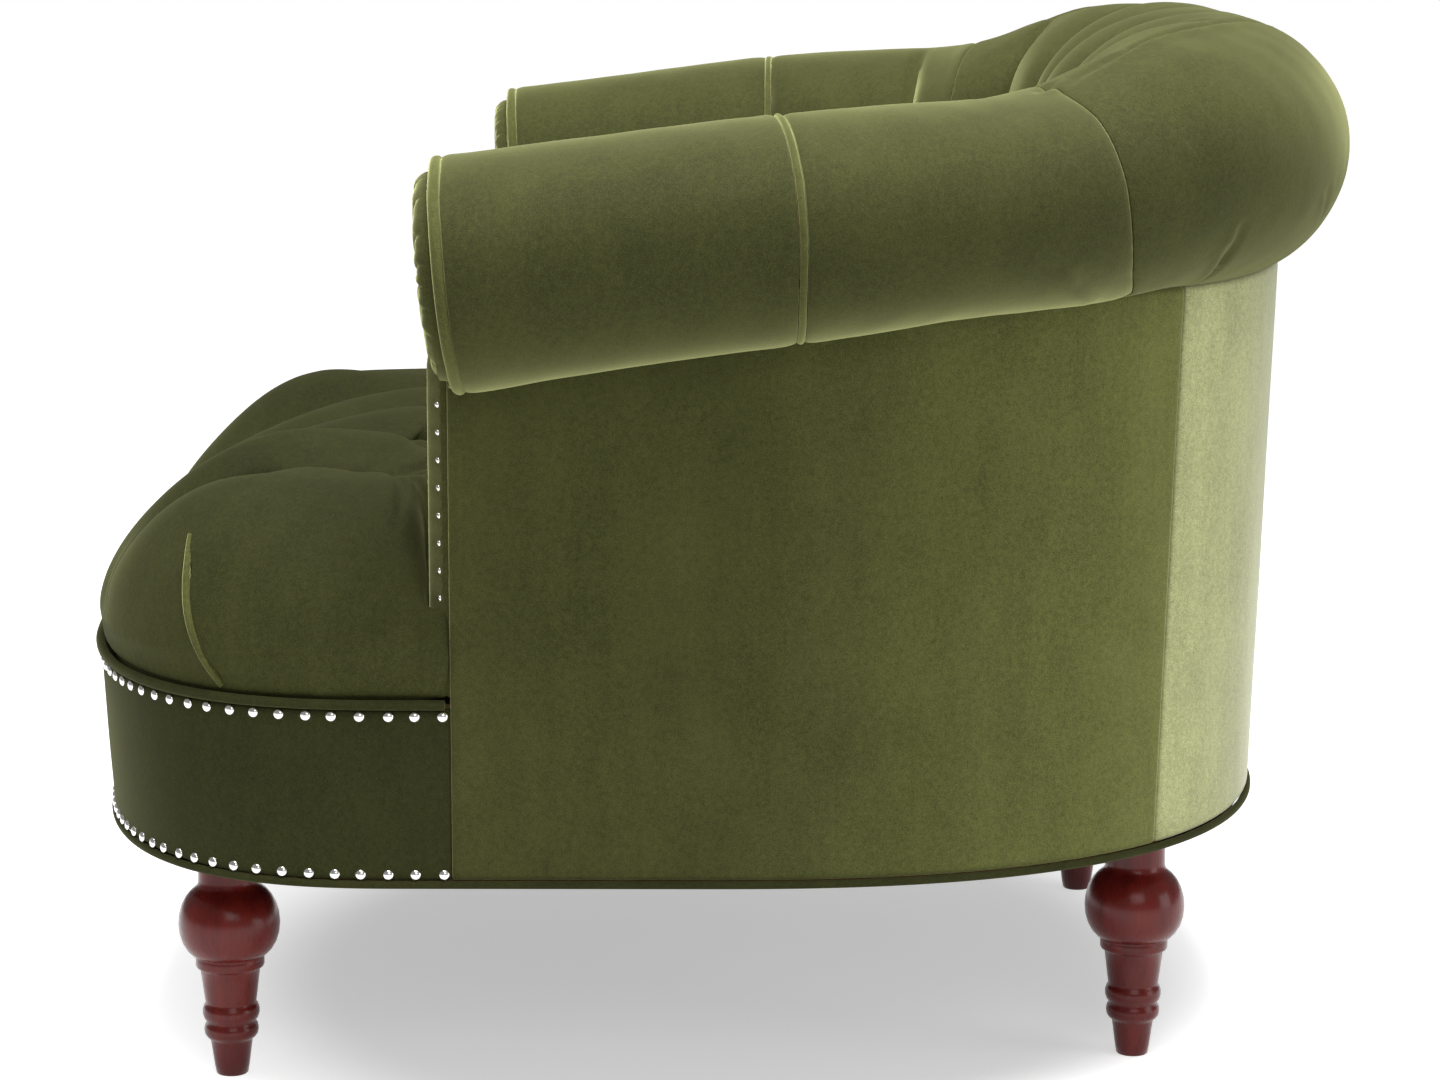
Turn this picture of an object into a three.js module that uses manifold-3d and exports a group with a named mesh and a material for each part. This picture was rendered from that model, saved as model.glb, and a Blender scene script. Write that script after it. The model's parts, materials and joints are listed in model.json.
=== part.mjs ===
// A low tufted armchair: rolled arms that run on into a rolled barrel back,
// a bowed front, a tight tufted seat and turned legs. Millimetres, +Z up.
// The sitter faces -Y, and the origin is on the floor under the middle of the chair.
import * as THREE from "three";
import { mergeVertices } from "three/addons/utils/BufferGeometryUtils.js";
import Module from "manifold-3d";

const wasm = await Module();
wasm.setup();

const { lerp, clamp, smoothstep } = THREE.MathUtils;

// Plan of the shell, measured on the outside of the covers at the base
const panelHalfWidth = 400;
const panelFrontY = -176.5;
const sideBendY = -1.2;
const backRearY = 408.4;
const backSquareness = 2.4;
const backLeanDistance = 15;
const backLeanTopZ = 580;

// Plan of the bowed front
const bowBendY = -209.2;
const bowFrontY = -452.5;
const bowSquareness = 2.6;
const bowLeanDistance = 8;

// Heights that everything is set out from
const baseZ = 165;
const seatWeltZ = 292.5;
const deckZ = 276;

// Gaps between neighbours
const seatGap = 0.3;
const padGap = 0.8;

// Covers, welts and their cords
const coverThickness = 8;
const baseWeltDiameter = 5.5;
const seatWeltDiameter = 7;
const armFrontWeltDiameter = 8;
const midWeltDiameter = 7;

// Seams across the arm roll, by the place where they cross the outside panel
const midSeamY = 44.8;
const cornerSeamY = 228.8;
const backSeamY = 313.8;
const cornerY = 304.8;

// The roll: its centre stands out from the outside panel by rollOut
const armRollOut = 25;
const armRollStuffing = 5.4;
const backRollOut = -74;
const backRollHalfWidth = 114.5;

// The crest falls from the rear to the arm fronts, and the roll gets thinner
const crestRearZ = 747;
const crestCornerDrop = 11;
const crestLateDrop = 40;
const crestMidDrop = 55;
const crestFrontDrop = 83;
const rollFrontHeight = 157;
const rollMidHeight = 151;
const rollLateHeight = 145;
const rollCornerHeight = 172;
const rollRearHeight = 207;

// The inside faces of the arms and back at seat height
const armInsideStuffing = 26.4;
const backInsideOut = -218;
const insideLowZ = 450;
const padFootZ = 297;

// Stuffing over the frame, and its tufts
const armPadThickness = 20;
const backPadThickness = 28;
const armTuftDepth = 9;
const backTuftDepth = 20;
const tuftsPerSide = 4.5;
const armFirstRow = 118;
const backFirstRow = 160;
const armRowPitch = 95;
const backRowPitch = 112;
const armPleatReach = 10;
const backPleatReach = 125;
const pleatFullDepth = 70;
const foldSharpness = 0.35;

// How much further the hollow turns under the back roll than under the arm roll, in radians
const hollowTurn = 1.7;

// Wooden frame
const railThickness = 21.5;
const railHeight = 86;
const frameDepth = 41;
const boardThickness = 22;
const rollShellThickness = 16;
const armMeetDrop = 45;
const backMeetDrop = 105;
const backingThickness = 3;
const backingFootZ = 282;
const blockWidth = 50;
const blockHeight = 45;
const blockHalfLength = 62;

// Seat pad
const seatTopZ = 455;
const seatBulge = 3.5;
const seatBulgeZ = 319;
const frontShoulder = 200;
const sideShoulder = 180;
const seatCrownPower = 1.7;
const seatEdgeDrop = 20;
const seatEdgeReach = 45;
const channelPitch = 115;
const cornerPleatInset = 55;
const seatSideInset = 1.5;
const seatTuftDepth = 18;
const seatFirstRowY = -232.2;
const seatRowPitch = 100;
const seatSideGap = 1;
const seatFrontFoldShare = 0.45;
const seatRowPower = 2.2;
const seatRowEvenness = 0.35;

// Springs, deck and dust cover
const springWire = 4;
const springPitch = 125;
const springSwing = 24;
const springArch = 11;
const springLoops = 8;
const springEndInset = 21;
const springPlaces = [-1.5, -0.5, 0.5, 1.5];
const springSides = 4;
const springStepsPerLoop = 5;
const deckThickness = 3;
const deckInset = 56;
const dustCoverThickness = 2;
const dustCoverInset = 5;

// Legs and their fasteners
const frontLegInset = 53.6;
const rearLegInset = 42.4;
const frontLegSideInset = 82.5;
const rearLegSideInset = 139;
const legBallRadius = 36;
const legFootRadius = 11.4;
const legNeckRadius = 21.5;
const boltRadius = 4;
const boltLength = 82;
const boltDepthInLeg = 42;
const nutBarrelRadius = 5.6;
const nutFlangeRadius = 11;
const nutBarrelLength = 12;
const nutFlangeThickness = 1.5;

// Arm fronts
const facingBulge = 17;
const facingInset = 9.6;
const facingEdge = 5;
const facingPleats = 12;
const facingPleatShare = 0.28;
const facingHollowShare = 0.4;
const buttonRadius = 11;
const buttonHeight = 5;
const buttonBaseInset = 0.9;
const buttonShoulderShares = [0.7, 0.77];
const postFacingThickness = 14.4;
const postFacingNeck = 14;
const postFacingNeckDrop = 35;
const postFacingArcSteps = 5;
const postFacingBevel = 4;
const postFacingOuterInset = 9;

// Worked out from the sizes above
const padBackOut = -coverThickness - frameDepth - backingThickness - 2 * padGap;
const armRollHalfWidth = armRollOut - padBackOut + armRollStuffing;
const armInsideOut = padBackOut - armInsideStuffing;
const cornerPleatX = panelHalfWidth - cornerPleatInset;
const frontLegX = panelHalfWidth - frontLegSideInset;
const rearLegX = panelHalfWidth - rearLegSideInset;

// Counts
const curveDivisions = 2000;
const bisections = 40;
const stepsPerTuft = 4;
const straightSteps = 4;
const rollSteps = 11;
const faceSteps = 6;
const hollowSteps = 10;
const rollShellFirst = 2;
const rollShellLast = 8;
const cordSides = 6;
const weltSteps = 22;
const legSides = 16;
const nutSides = 10;
const seatRows = 17;
const seatStepsPerChannel = 4;
const sideStrips = 6;
const bowSamples = 160;
const facingSpokes = 24;
const facingRings = 6;

// Finishes
const velvet = new THREE.MeshStandardMaterial({ color: 0x5a6431, roughness: 0.9, metalness: 0 });
const lining = new THREE.MeshStandardMaterial({ color: 0x1c1c1c, roughness: 1, metalness: 0 });
const backing = new THREE.MeshStandardMaterial({ color: 0xb59b6a, roughness: 1, metalness: 0 });
const mahogany = new THREE.MeshStandardMaterial({ color: 0x42140f, roughness: 0.3, metalness: 0 });
const beech = new THREE.MeshStandardMaterial({ color: 0xb98b5a, roughness: 0.7, metalness: 0 });
const steel = new THREE.MeshStandardMaterial({ color: 0x9a9a9a, roughness: 0.4, metalness: 1 });

const group = new THREE.Group();

function addNode(name, geometry, material) {
  const mesh = new THREE.Mesh(geometry, material);
  mesh.name = name;
  group.add(mesh);
  return mesh;
}

// The bare shape, with its shared corners merged
function bareShape(geometry) {
  const bare = geometry.clone();
  bare.deleteAttribute("normal");
  bare.deleteAttribute("uv");
  const merged = mergeVertices(bare);
  merged.computeVertexNormals();
  return merged;
}

// A copy on the other side of the chair, turned right side out again
function mirrored(geometry) {
  const copy = bareShape(geometry).scale(-1, 1, 1);
  const index = copy.index.array;
  for (let i = 0; i < index.length; i += 3) {
    const first = index[i];
    index[i] = index[i + 1];
    index[i + 1] = first;
  }
  return copy;
}

function addPair(name, geometry, material) {
  addNode(`left_${name}`, geometry, material);
  addNode(`right_${name}`, mirrored(geometry), material);
}

// A symmetric line in plan: straight sides that turn into a superellipse.
// Distance along it starts at the end on the +X side.
class PlanCurve extends THREE.Curve {
  constructor(sizes) {
    super();
    Object.assign(this, sizes);
    this.arcLengthDivisions = curveDivisions;
    this.turn = Math.sign(this.endY - this.startY);
    const straight = Math.abs(this.bendY - this.startY);
    this.straightShare = straight / (straight + Math.abs(this.endY - this.bendY) + this.halfWidth);
    this.length = this.getLength();
    this.half = this.length / 2;
  }

  getPoint(t, target = new THREE.Vector3()) {
    const side = t < 0.5 ? 1 : -1;
    const along = 1 - Math.abs(1 - 2 * t);
    if (along < this.straightShare) {
      const y = lerp(this.startY, this.bendY, along / this.straightShare);
      return target.set(side * this.halfWidth, y, 0);
    }
    const angle = ((along - this.straightShare) / (1 - this.straightShare)) * (Math.PI / 2);
    const power = 2 / this.squareness;
    const x = this.halfWidth * Math.max(Math.cos(angle), 0) ** power;
    const y = lerp(this.bendY, this.endY, Math.sin(angle) ** power);
    return target.set(side * x, y, 0);
  }

  // The unit vector that points away from the chair in plan
  outward(distance) {
    const tangent = this.getTangentAt(clamp(distance / this.length, 0, 1));
    return new THREE.Vector3(this.turn * tangent.y, -this.turn * tangent.x, 0);
  }

  place(distance, out, z) {
    const held = clamp(distance, 0, this.length);
    const point = this.getPointAt(held / this.length);
    const tangent = this.getTangentAt(held / this.length);
    const away = this.outward(held);
    const lean = this.lean * away.y ** 2 * ((z - this.leanFromZ) / (this.leanToZ - this.leanFromZ));
    point.addScaledVector(tangent, distance - held);
    point.addScaledVector(away, out + lean);
    point.z = z;
    return point;
  }

  // Distance along the +X half to where a coordinate is reached
  distanceWhere(axis, value) {
    let low = 0;
    let high = this.half;
    const rising = this.getPointAt(0.5)[axis] > this.getPointAt(0)[axis];
    for (let i = 0; i < bisections; i += 1) {
      const middle = (low + high) / 2;
      const below = this.getPointAt(middle / this.length)[axis] < value;
      if (below === rising) low = middle;
      else high = middle;
    }
    return low;
  }
}

const shell = new PlanCurve({
  halfWidth: panelHalfWidth,
  startY: panelFrontY,
  bendY: sideBendY,
  endY: backRearY,
  squareness: backSquareness,
  lean: backLeanDistance,
  leanFromZ: baseZ,
  leanToZ: backLeanTopZ,
});

const bow = new PlanCurve({
  halfWidth: panelHalfWidth,
  startY: panelFrontY - seatGap,
  bendY: bowBendY,
  endY: bowFrontY,
  squareness: bowSquareness,
  lean: bowLeanDistance,
  leanFromZ: baseZ,
  leanToZ: seatWeltZ,
});

const midSeam = shell.distanceWhere("y", midSeamY);
const cornerSeam = shell.distanceWhere("y", cornerSeamY);
const backSeam = shell.distanceWhere("y", backSeamY);
const corner = shell.distanceWhere("y", cornerY);
const tuftPitch = (shell.half - midSeam) / tuftsPerSide;

// A smooth line through [place, value] pairs
function smoothLine(knots, place) {
  const last = knots.length - 1;
  const held = clamp(place, knots[0][0], knots[last][0]);
  let i = 0;
  while (i < last - 1 && held > knots[i + 1][0]) i += 1;
  const slope = (k) => {
    const before = knots[Math.max(k - 1, 0)];
    const after = knots[Math.min(k + 1, last)];
    return (after[1] - before[1]) / (after[0] - before[0]);
  };
  const span = knots[i + 1][0] - knots[i][0];
  const t = (held - knots[i][0]) / span;
  const startPart = (2 * t ** 3 - 3 * t ** 2 + 1) * knots[i][1];
  const endPart = (3 * t ** 2 - 2 * t ** 3) * knots[i + 1][1];
  const startSlope = (t ** 3 - 2 * t ** 2 + t) * span * slope(i);
  const endSlope = (t ** 3 - t ** 2) * span * slope(i + 1);
  return startPart + endPart + startSlope + endSlope;
}

const crestKnots = [
  [0, crestRearZ - crestFrontDrop],
  [midSeam, crestRearZ - crestMidDrop],
  [cornerSeam, crestRearZ - crestLateDrop],
  [corner, crestRearZ - crestCornerDrop],
  [(corner + shell.half) / 2, crestRearZ],
  [shell.half, crestRearZ],
];
const underKnots = [
  [0, crestRearZ - crestFrontDrop - rollFrontHeight],
  [midSeam, crestRearZ - crestMidDrop - rollMidHeight],
  [cornerSeam, crestRearZ - crestLateDrop - rollLateHeight],
  [corner, crestRearZ - crestCornerDrop - rollCornerHeight],
  [shell.half, crestRearZ - rollRearHeight],
];

// The roll's section at a distance along the shell
function rollAt(distance) {
  const along = Math.min(distance, shell.length - distance);
  const share = smoothstep(along, midSeam, shell.half);
  const crest = smoothLine(crestKnots, along);
  const under = smoothLine(underKnots, along);
  return {
    share,
    out: lerp(armRollOut, backRollOut, share),
    z: (crest + under) / 2,
    across: lerp(armRollHalfWidth, backRollHalfWidth, share),
    up: (crest - under) / 2,
    inside: lerp(armInsideOut, backInsideOut, share),
    padThickness: lerp(armPadThickness, backPadThickness, share),
    meetZ: (crest + under) / 2 - lerp(armMeetDrop, backMeetDrop, share),
  };
}

function onRoll(roll, angle, shrink) {
  const out = roll.out + (roll.across - shrink) * Math.cos(angle);
  const z = roll.z + (roll.up - shrink) * Math.sin(angle);
  return new THREE.Vector2(out, z);
}

// The angle under the roll where it crosses a plane that stands out from the shell
function underAngle(roll, out, shrink) {
  return -Math.acos(clamp((out - roll.out) / (roll.across - shrink), -1, 1));
}

function arcOnRoll(roll, from, to, steps, shrink) {
  const points = [];
  for (let i = 0; i <= steps; i += 1) {
    points.push(onRoll(roll, lerp(from, to, i / steps), shrink));
  }
  return points;
}

// How full the stuffing is between the folds of a diamond pattern, 0 on a fold and 1 in a puff
function puffShare(column, row) {
  const wave = Math.abs(((row % 2) + 2) % 2);
  const shift = row <= 0 ? 0 : Math.min(wave, 2 - wave) / 2;
  const product = Math.sin(Math.PI * (column - shift)) * Math.sin(Math.PI * (column + shift));
  return Math.abs(product) ** foldSharpness;
}

// The outside of the stuffing from the outside panel over the crest and down to its foot
function padOutline(distance, tufted) {
  const roll = rollAt(distance);
  const start = underAngle(roll, -coverThickness - padGap, 0);
  const points = arcOnRoll(roll, start, Math.PI, rollSteps, 0);
  const side = roll.out - roll.across;
  for (let i = 1; i <= faceSteps; i += 1) {
    const share = i / faceSteps;
    const out = lerp(side, roll.inside, smoothstep(share, 0, 1));
    points.push(new THREE.Vector2(out, lerp(roll.z, insideLowZ, share)));
  }
  if (tufted) sinkFolds(points, roll, distance);
  points.push(new THREE.Vector2(roll.inside, padFootZ));
  return points;
}

function sinkFolds(points, roll, distance) {
  const column = (distance - midSeam) / tuftPitch;
  const crestIndex = points.reduce((best, p, i) => (p.y > points[best].y ? i : best), 0);
  const walked = [0];
  for (let i = 1; i < points.length; i += 1) {
    walked.push(walked[i - 1] + points[i].distanceTo(points[i - 1]));
  }
  const firstRow = lerp(armFirstRow, backFirstRow, roll.share);
  const rowPitch = lerp(armRowPitch, backRowPitch, roll.share);
  const reach = lerp(armPleatReach, backPleatReach, roll.share);
  const depth = lerp(armTuftDepth, backTuftDepth, roll.share);
  const normals = points.map((point, i) => {
    const before = points[Math.max(i - 1, 0)];
    const after = points[Math.min(i + 1, points.length - 1)];
    return new THREE.Vector2(before.y - after.y, after.x - before.x).normalize();
  });
  points.forEach((point, i) => {
    const fromCrest = walked[i] - walked[crestIndex];
    const row = clamp((fromCrest - firstRow) / rowPitch, 0, 1);
    const here = depth * smoothstep(fromCrest, -reach, pleatFullDepth);
    point.addScaledVector(normals[i], here * (1 - puffShare(column, row)));
  });
}

// The hollow of the roll, from the inside of the arm over the crest to the outside panel.
// Pad, boards and bent shells all turn at the same angles, so that they keep their gap.
function hollowArc(roll, shrink) {
  const from = Math.PI + roll.share * hollowTurn;
  const to = underAngle(roll, -coverThickness - padGap, roll.padThickness);
  return arcOnRoll(roll, from, to, hollowSteps, roll.padThickness + shrink);
}

// Closed section of a pad: its outline, and inside it the hollow that the frame fills
function padSection(distance, tufted) {
  const roll = rollAt(distance);
  const points = padOutline(distance, tufted);
  points.push(new THREE.Vector2(padBackOut, padFootZ));
  points.push(new THREE.Vector2(padBackOut, roll.meetZ));
  points.push(...hollowArc(roll, 0));
  return points;
}

function boardSection(distance, footZ) {
  const roll = rollAt(distance);
  const outer = -coverThickness - 2 * padGap;
  const inner = -coverThickness - frameDepth;
  const points = [
    new THREE.Vector2(outer, footZ),
    new THREE.Vector2(inner, footZ),
    new THREE.Vector2(inner, roll.meetZ),
    ...hollowArc(roll, padGap),
  ];
  const end = points.pop();
  points.push(new THREE.Vector2(Math.min(end.x, outer), end.y));
  return points;
}

// A bent board over the top and the outside of the hollow
function rollShellSection(distance) {
  const roll = rollAt(distance);
  const outer = hollowArc(roll, padGap).slice(rollShellFirst, rollShellLast);
  const inner = hollowArc(roll, padGap + rollShellThickness).slice(rollShellFirst, rollShellLast);
  return [...outer, ...inner.reverse()];
}

const railFootZ = baseZ + seatGap + dustCoverThickness + seatGap;
const railTopZ = railFootZ + railHeight;

function plateSection(outer, inner, lowZ, highZ) {
  return [
    new THREE.Vector2(outer, highZ),
    new THREE.Vector2(inner, highZ),
    new THREE.Vector2(inner, lowZ),
    new THREE.Vector2(outer, lowZ),
  ];
}

// Every part along a plan curve turns only at the curve's stations, so that neighbours keep their gap
function shellStations() {
  const fine = tuftPitch / stepsPerTuft;
  const straight = evenStations(0, midSeam, straightSteps).slice(0, -1);
  const near = [...straight, ...evenStations(midSeam, shell.half, Math.round((shell.half - midSeam) / fine))];
  return [...near, ...near.slice(0, -1).reverse().map((s) => shell.length - s)];
}

const channelStep = channelPitch / seatStepsPerChannel;
const seatSideX = panelHalfWidth - seatSideInset;

// The seat's strips stand at these places across the chair, close together near its sides
function seatPlacesX() {
  const places = [];
  for (let x = 0; x < cornerPleatX - channelStep / 2; x += channelStep) places.push(x);
  for (let i = 0; i <= sideStrips; i += 1) {
    const share = Math.sin(((i / sideStrips) * Math.PI) / 2);
    places.push(lerp(cornerPleatX, seatSideX, share));
  }
  return places;
}

function bowStations() {
  const near = seatPlacesX().reverse().map((x) => bow.distanceWhere("x", x));
  near.unshift(0, bow.distanceWhere("y", bowBendY));
  return [...near, ...near.slice(0, -1).reverse().map((s) => bow.length - s)];
}

function evenStations(from, to, steps) {
  return Array.from({ length: steps + 1 }, (_, i) => lerp(from, to, i / steps));
}

shell.stations = shellStations();
bow.stations = bowStations();

function stationsBetween(curve, from, to) {
  const inside = curve.stations.filter((s) => s > from + seatGap && s < to - seatGap);
  return [from, ...inside, to];
}

// The ring of a section at a place: straight between the rings of the stations on either side
function ringAt(curve, place, sectionAt) {
  const after = Math.max(curve.stations.findIndex((s) => s >= place), 1);
  const [from, to] = [curve.stations[after - 1], curve.stations[after]];
  const share = (place - from) / (to - from);
  const start = sectionAt(from).map((p) => curve.place(from, p.x, p.y));
  const end = sectionAt(to).map((p) => curve.place(to, p.x, p.y));
  return start.map((point, i) => point.lerp(end[i], share));
}

// A closed solid through rings of equal count. Flat sections cap its two ends.
// From one ring on, its faces are cut along the other diagonal, so that both halves match.
function solidFromRings(rings, flatEnds, flipFrom = Infinity) {
  const count = rings[0].length;
  const positions = rings.flatMap((ring) => ring.flatMap((p) => [p.x, p.y, p.z]));
  const index = [];
  const closed = flatEnds === undefined;
  const last = closed ? rings.length : rings.length - 1;
  for (let r = 0; r < last; r += 1) {
    const here = r * count;
    const next = ((r + 1) % rings.length) * count;
    for (let i = 0; i < count; i += 1) {
      const j = (i + 1) % count;
      if (r < flipFrom) index.push(here + i, here + j, next + j, here + i, next + j, next + i);
      else index.push(here + i, here + j, next + i, here + j, next + j, next + i);
    }
  }
  if (!closed) {
    const end = (rings.length - 1) * count;
    capTriangles(flatEnds[0]).forEach(([a, b, c]) => index.push(a, c, b));
    capTriangles(flatEnds[1]).forEach(([a, b, c]) => index.push(end + a, end + b, end + c));
  }
  const geometry = new THREE.BufferGeometry();
  geometry.setAttribute("position", new THREE.Float32BufferAttribute(positions, 3));
  geometry.setIndex(index);
  return rightSideOut(geometry);
}

// Triangles over a flat outline, wound the way the outline runs
function capTriangles(outline) {
  const faces = THREE.ShapeUtils.triangulateShape(outline, []);
  const cornersOf = (face) => face.map((i) => outline[i]);
  const covered = faces.reduce((sum, face) => sum + THREE.ShapeUtils.area(cornersOf(face)), 0);
  const same = Math.sign(covered) === Math.sign(THREE.ShapeUtils.area(outline));
  return faces.map(([a, b, c]) => (same ? [a, b, c] : [a, c, b]));
}

function rightSideOut(geometry) {
  const position = geometry.attributes.position;
  const index = geometry.index.array;
  const corners = [new THREE.Vector3(), new THREE.Vector3(), new THREE.Vector3()];
  let volume = 0;
  for (let i = 0; i < index.length; i += 3) {
    corners.forEach((corner_, k) => corner_.fromBufferAttribute(position, index[i + k]));
    volume += corners[0].dot(corners[1].clone().cross(corners[2]));
  }
  if (volume < 0) {
    for (let i = 0; i < index.length; i += 3) {
      const first = index[i];
      index[i] = index[i + 1];
      index[i + 1] = first;
    }
  }
  geometry.computeVertexNormals();
  return geometry;
}

function sweep(curve, from, to, sectionAt) {
  const places = stationsBetween(curve, from, to);
  const rings = places.map((s) => ringAt(curve, s, sectionAt));
  const middle = places.findIndex((s) => s > curve.half - seatGap);
  return solidFromRings(rings, [sectionAt(from), sectionAt(to)], middle < 0 ? Infinity : middle);
}

function cordThrough(points, diameter, steps) {
  const outline = new THREE.Shape();
  outline.absarc(0, 0, diameter / 2, 0, 2 * Math.PI);
  const corners = outline.getSpacedPoints(cordSides).slice(0, cordSides);
  const path = new THREE.CatmullRomCurve3(points, false, "centripetal");
  const settings = { steps, bevelEnabled: false, extrudePath: path };
  return new THREE.ExtrudeGeometry(new THREE.Shape(corners), settings);
}

function toManifold(geometry) {
  const merged = bareShape(geometry);
  const vertProperties = new Float32Array(merged.attributes.position.array);
  const triVerts = new Uint32Array(merged.index.array);
  return new wasm.Manifold(new wasm.Mesh({ numProp: 3, vertProperties, triVerts }));
}

function fromManifold(solid) {
  const mesh = solid.getMesh();
  const geometry = new THREE.BufferGeometry();
  geometry.setAttribute("position", new THREE.BufferAttribute(mesh.vertProperties, mesh.numProp));
  geometry.setIndex(new THREE.BufferAttribute(mesh.triVerts, 1));
  geometry.computeVertexNormals();
  return geometry;
}

// Outside covers: stiff board, wadding and velvet in one shell
function outsideCover(from, to) {
  const lowZ = baseZ + baseWeltDiameter + seatGap;
  return sweep(shell, from, to, (distance) => {
    const roll = rollAt(distance);
    const topAt = (out) => onRoll(roll, underAngle(roll, out, 0), 0).y - padGap;
    return [
      new THREE.Vector2(0, topAt(0)),
      new THREE.Vector2(-coverThickness, topAt(-coverThickness)),
      new THREE.Vector2(-coverThickness, lowZ),
      new THREE.Vector2(0, lowZ),
    ];
  });
}

addPair("outside_arm", outsideCover(0, backSeam - seatGap), velvet);
addNode("outside_back", outsideCover(backSeam + seatGap, shell.length - backSeam - seatGap), velvet);

// The border under the seat follows the bow
const borderTopZ = seatWeltZ - seatWeltDiameter / 2 - seatGap;
const border = plateSection(0, -coverThickness, baseZ + baseWeltDiameter + seatGap, borderTopZ);
addNode("front_border", sweep(bow, 0, bow.length, () => border), velvet);

// Rails stand behind the covers, between the scroll boards
const railOuter = -coverThickness - padGap;
const rail = plateSection(railOuter, railOuter - railThickness, railFootZ, railTopZ);
const backPostFrom = cornerSeam - boardThickness / 2;
const backPostTo = cornerSeam + boardThickness / 2;
const postBack = boardThickness;

function railAlong(curve, from, to) {
  return sweep(curve, from, to, () => rail);
}

addPair("side_rail", railAlong(shell, postBack + seatGap, backPostFrom - seatGap), beech);
addNode("back_rail", railAlong(shell, backPostTo + seatGap, shell.length - backPostTo - seatGap), beech);
addNode("front_rail", railAlong(bow, seatGap, bow.length - seatGap), beech);

function scrollBoard(from, to, footZ) {
  return sweep(shell, from, to, (distance) => boardSection(distance, footZ));
}

addPair("front_post", scrollBoard(0, postBack, railFootZ), beech);
addPair("back_post", scrollBoard(backPostFrom, backPostTo, railFootZ), beech);
const uprightFrom = shell.half - boardThickness / 2;
const uprightFootZ = railTopZ + seatGap;
addNode("back_upright", scrollBoard(uprightFrom, shell.length - uprightFrom, uprightFootZ), beech);

// Bent half rolls carry the stuffing of the roll from board to board
function rollShell(from, to) {
  return sweep(shell, from, to, rollShellSection);
}

addPair("arm_roll_shell", rollShell(postBack + seatGap, backPostFrom - seatGap), beech);
addPair("back_roll_shell", rollShell(backPostTo + seatGap, uprightFrom - seatGap), beech);

// Backing cloth on the inner edges of the boards
function backingCloth(from, to) {
  const outer = -coverThickness - frameDepth - seatGap;
  return sweep(shell, from, to, (distance) => {
    const topZ = rollAt(distance).meetZ - backingThickness;
    return plateSection(outer, outer - backingThickness, backingFootZ, topZ);
  });
}

addPair("arm_backing", backingCloth(0, cornerSeam - seatGap), backing);
addNode("back_backing", backingCloth(cornerSeam + seatGap, shell.length - cornerSeam - seatGap), backing);

// Stuffed pads of the arms and back
function stuffedPad(from, to, tufted) {
  return sweep(shell, from, to, (distance) => padSection(distance, tufted));
}

const midWeltRoom = midWeltDiameter / 2 + padGap;
const frontWeltRoom = armFrontWeltDiameter + 2 * seatGap;
addPair("arm_front_pad", stuffedPad(frontWeltRoom, midSeam - midWeltRoom, false), velvet);
addPair("arm_rear_pad", stuffedPad(midSeam + midWeltRoom, cornerSeam - seatGap, true), velvet);
addNode("back_pad", stuffedPad(cornerSeam + seatGap, shell.length - cornerSeam - seatGap, true), velvet);

// Welts over the arm roll: one round the arm front, one across its middle
function rollWelt(distance, inset, diameter) {
  const roll = rollAt(distance);
  const start = underAngle(roll, -diameter / 2, inset);
  const section = arcOnRoll(roll, start, Math.PI, rollSteps, inset);
  section.push(new THREE.Vector2(roll.inside + inset, insideLowZ));
  section.push(new THREE.Vector2(roll.inside + inset, (insideLowZ + padFootZ) / 2));
  const points = section.map((p) => shell.place(distance, p.x, p.y));
  return cordThrough(points, diameter, weltSteps);
}

addPair("arm_front_welt", rollWelt(frontWeltRoom / 2, armFrontWeltDiameter / 2, armFrontWeltDiameter), velvet);
addPair("arm_mid_welt", rollWelt(midSeam, midWeltDiameter / 2, midWeltDiameter), velvet);

// Welt round the base, in one closed ring, and the welt under the seat
function baseWelt() {
  const radius = baseWeltDiameter / 2;
  const path = [];
  shell.stations.forEach((s) => path.push([shell, s]));
  bow.stations.slice(1, -1).reverse().forEach((s) => path.push([bow, s]));
  const rings = path.map(([curve, s]) =>
    evenStations(0, 2 * Math.PI, cordSides).slice(0, -1).map((angle) => {
      const z = baseZ + radius + radius * Math.sin(angle);
      return curve.place(s, radius * Math.cos(angle), z);
    }),
  );
  return solidFromRings(rings);
}

addNode("base_welt", baseWelt(), velvet);

function seatWelt() {
  const places = stationsBetween(bow, seatWeltDiameter / 2, bow.length - seatWeltDiameter / 2);
  return cordThrough(places.map((s) => bow.place(s, 0, seatWeltZ)), seatWeltDiameter, places.length);
}

addNode("seat_welt", seatWelt(), velvet);

// How far the facing stands out at a share of its radius, drawn in at its button
function facingDome(share) {
  return Math.sqrt(1 - share ** 2) * smoothstep(share, 0, facingHollowShare);
}

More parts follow.
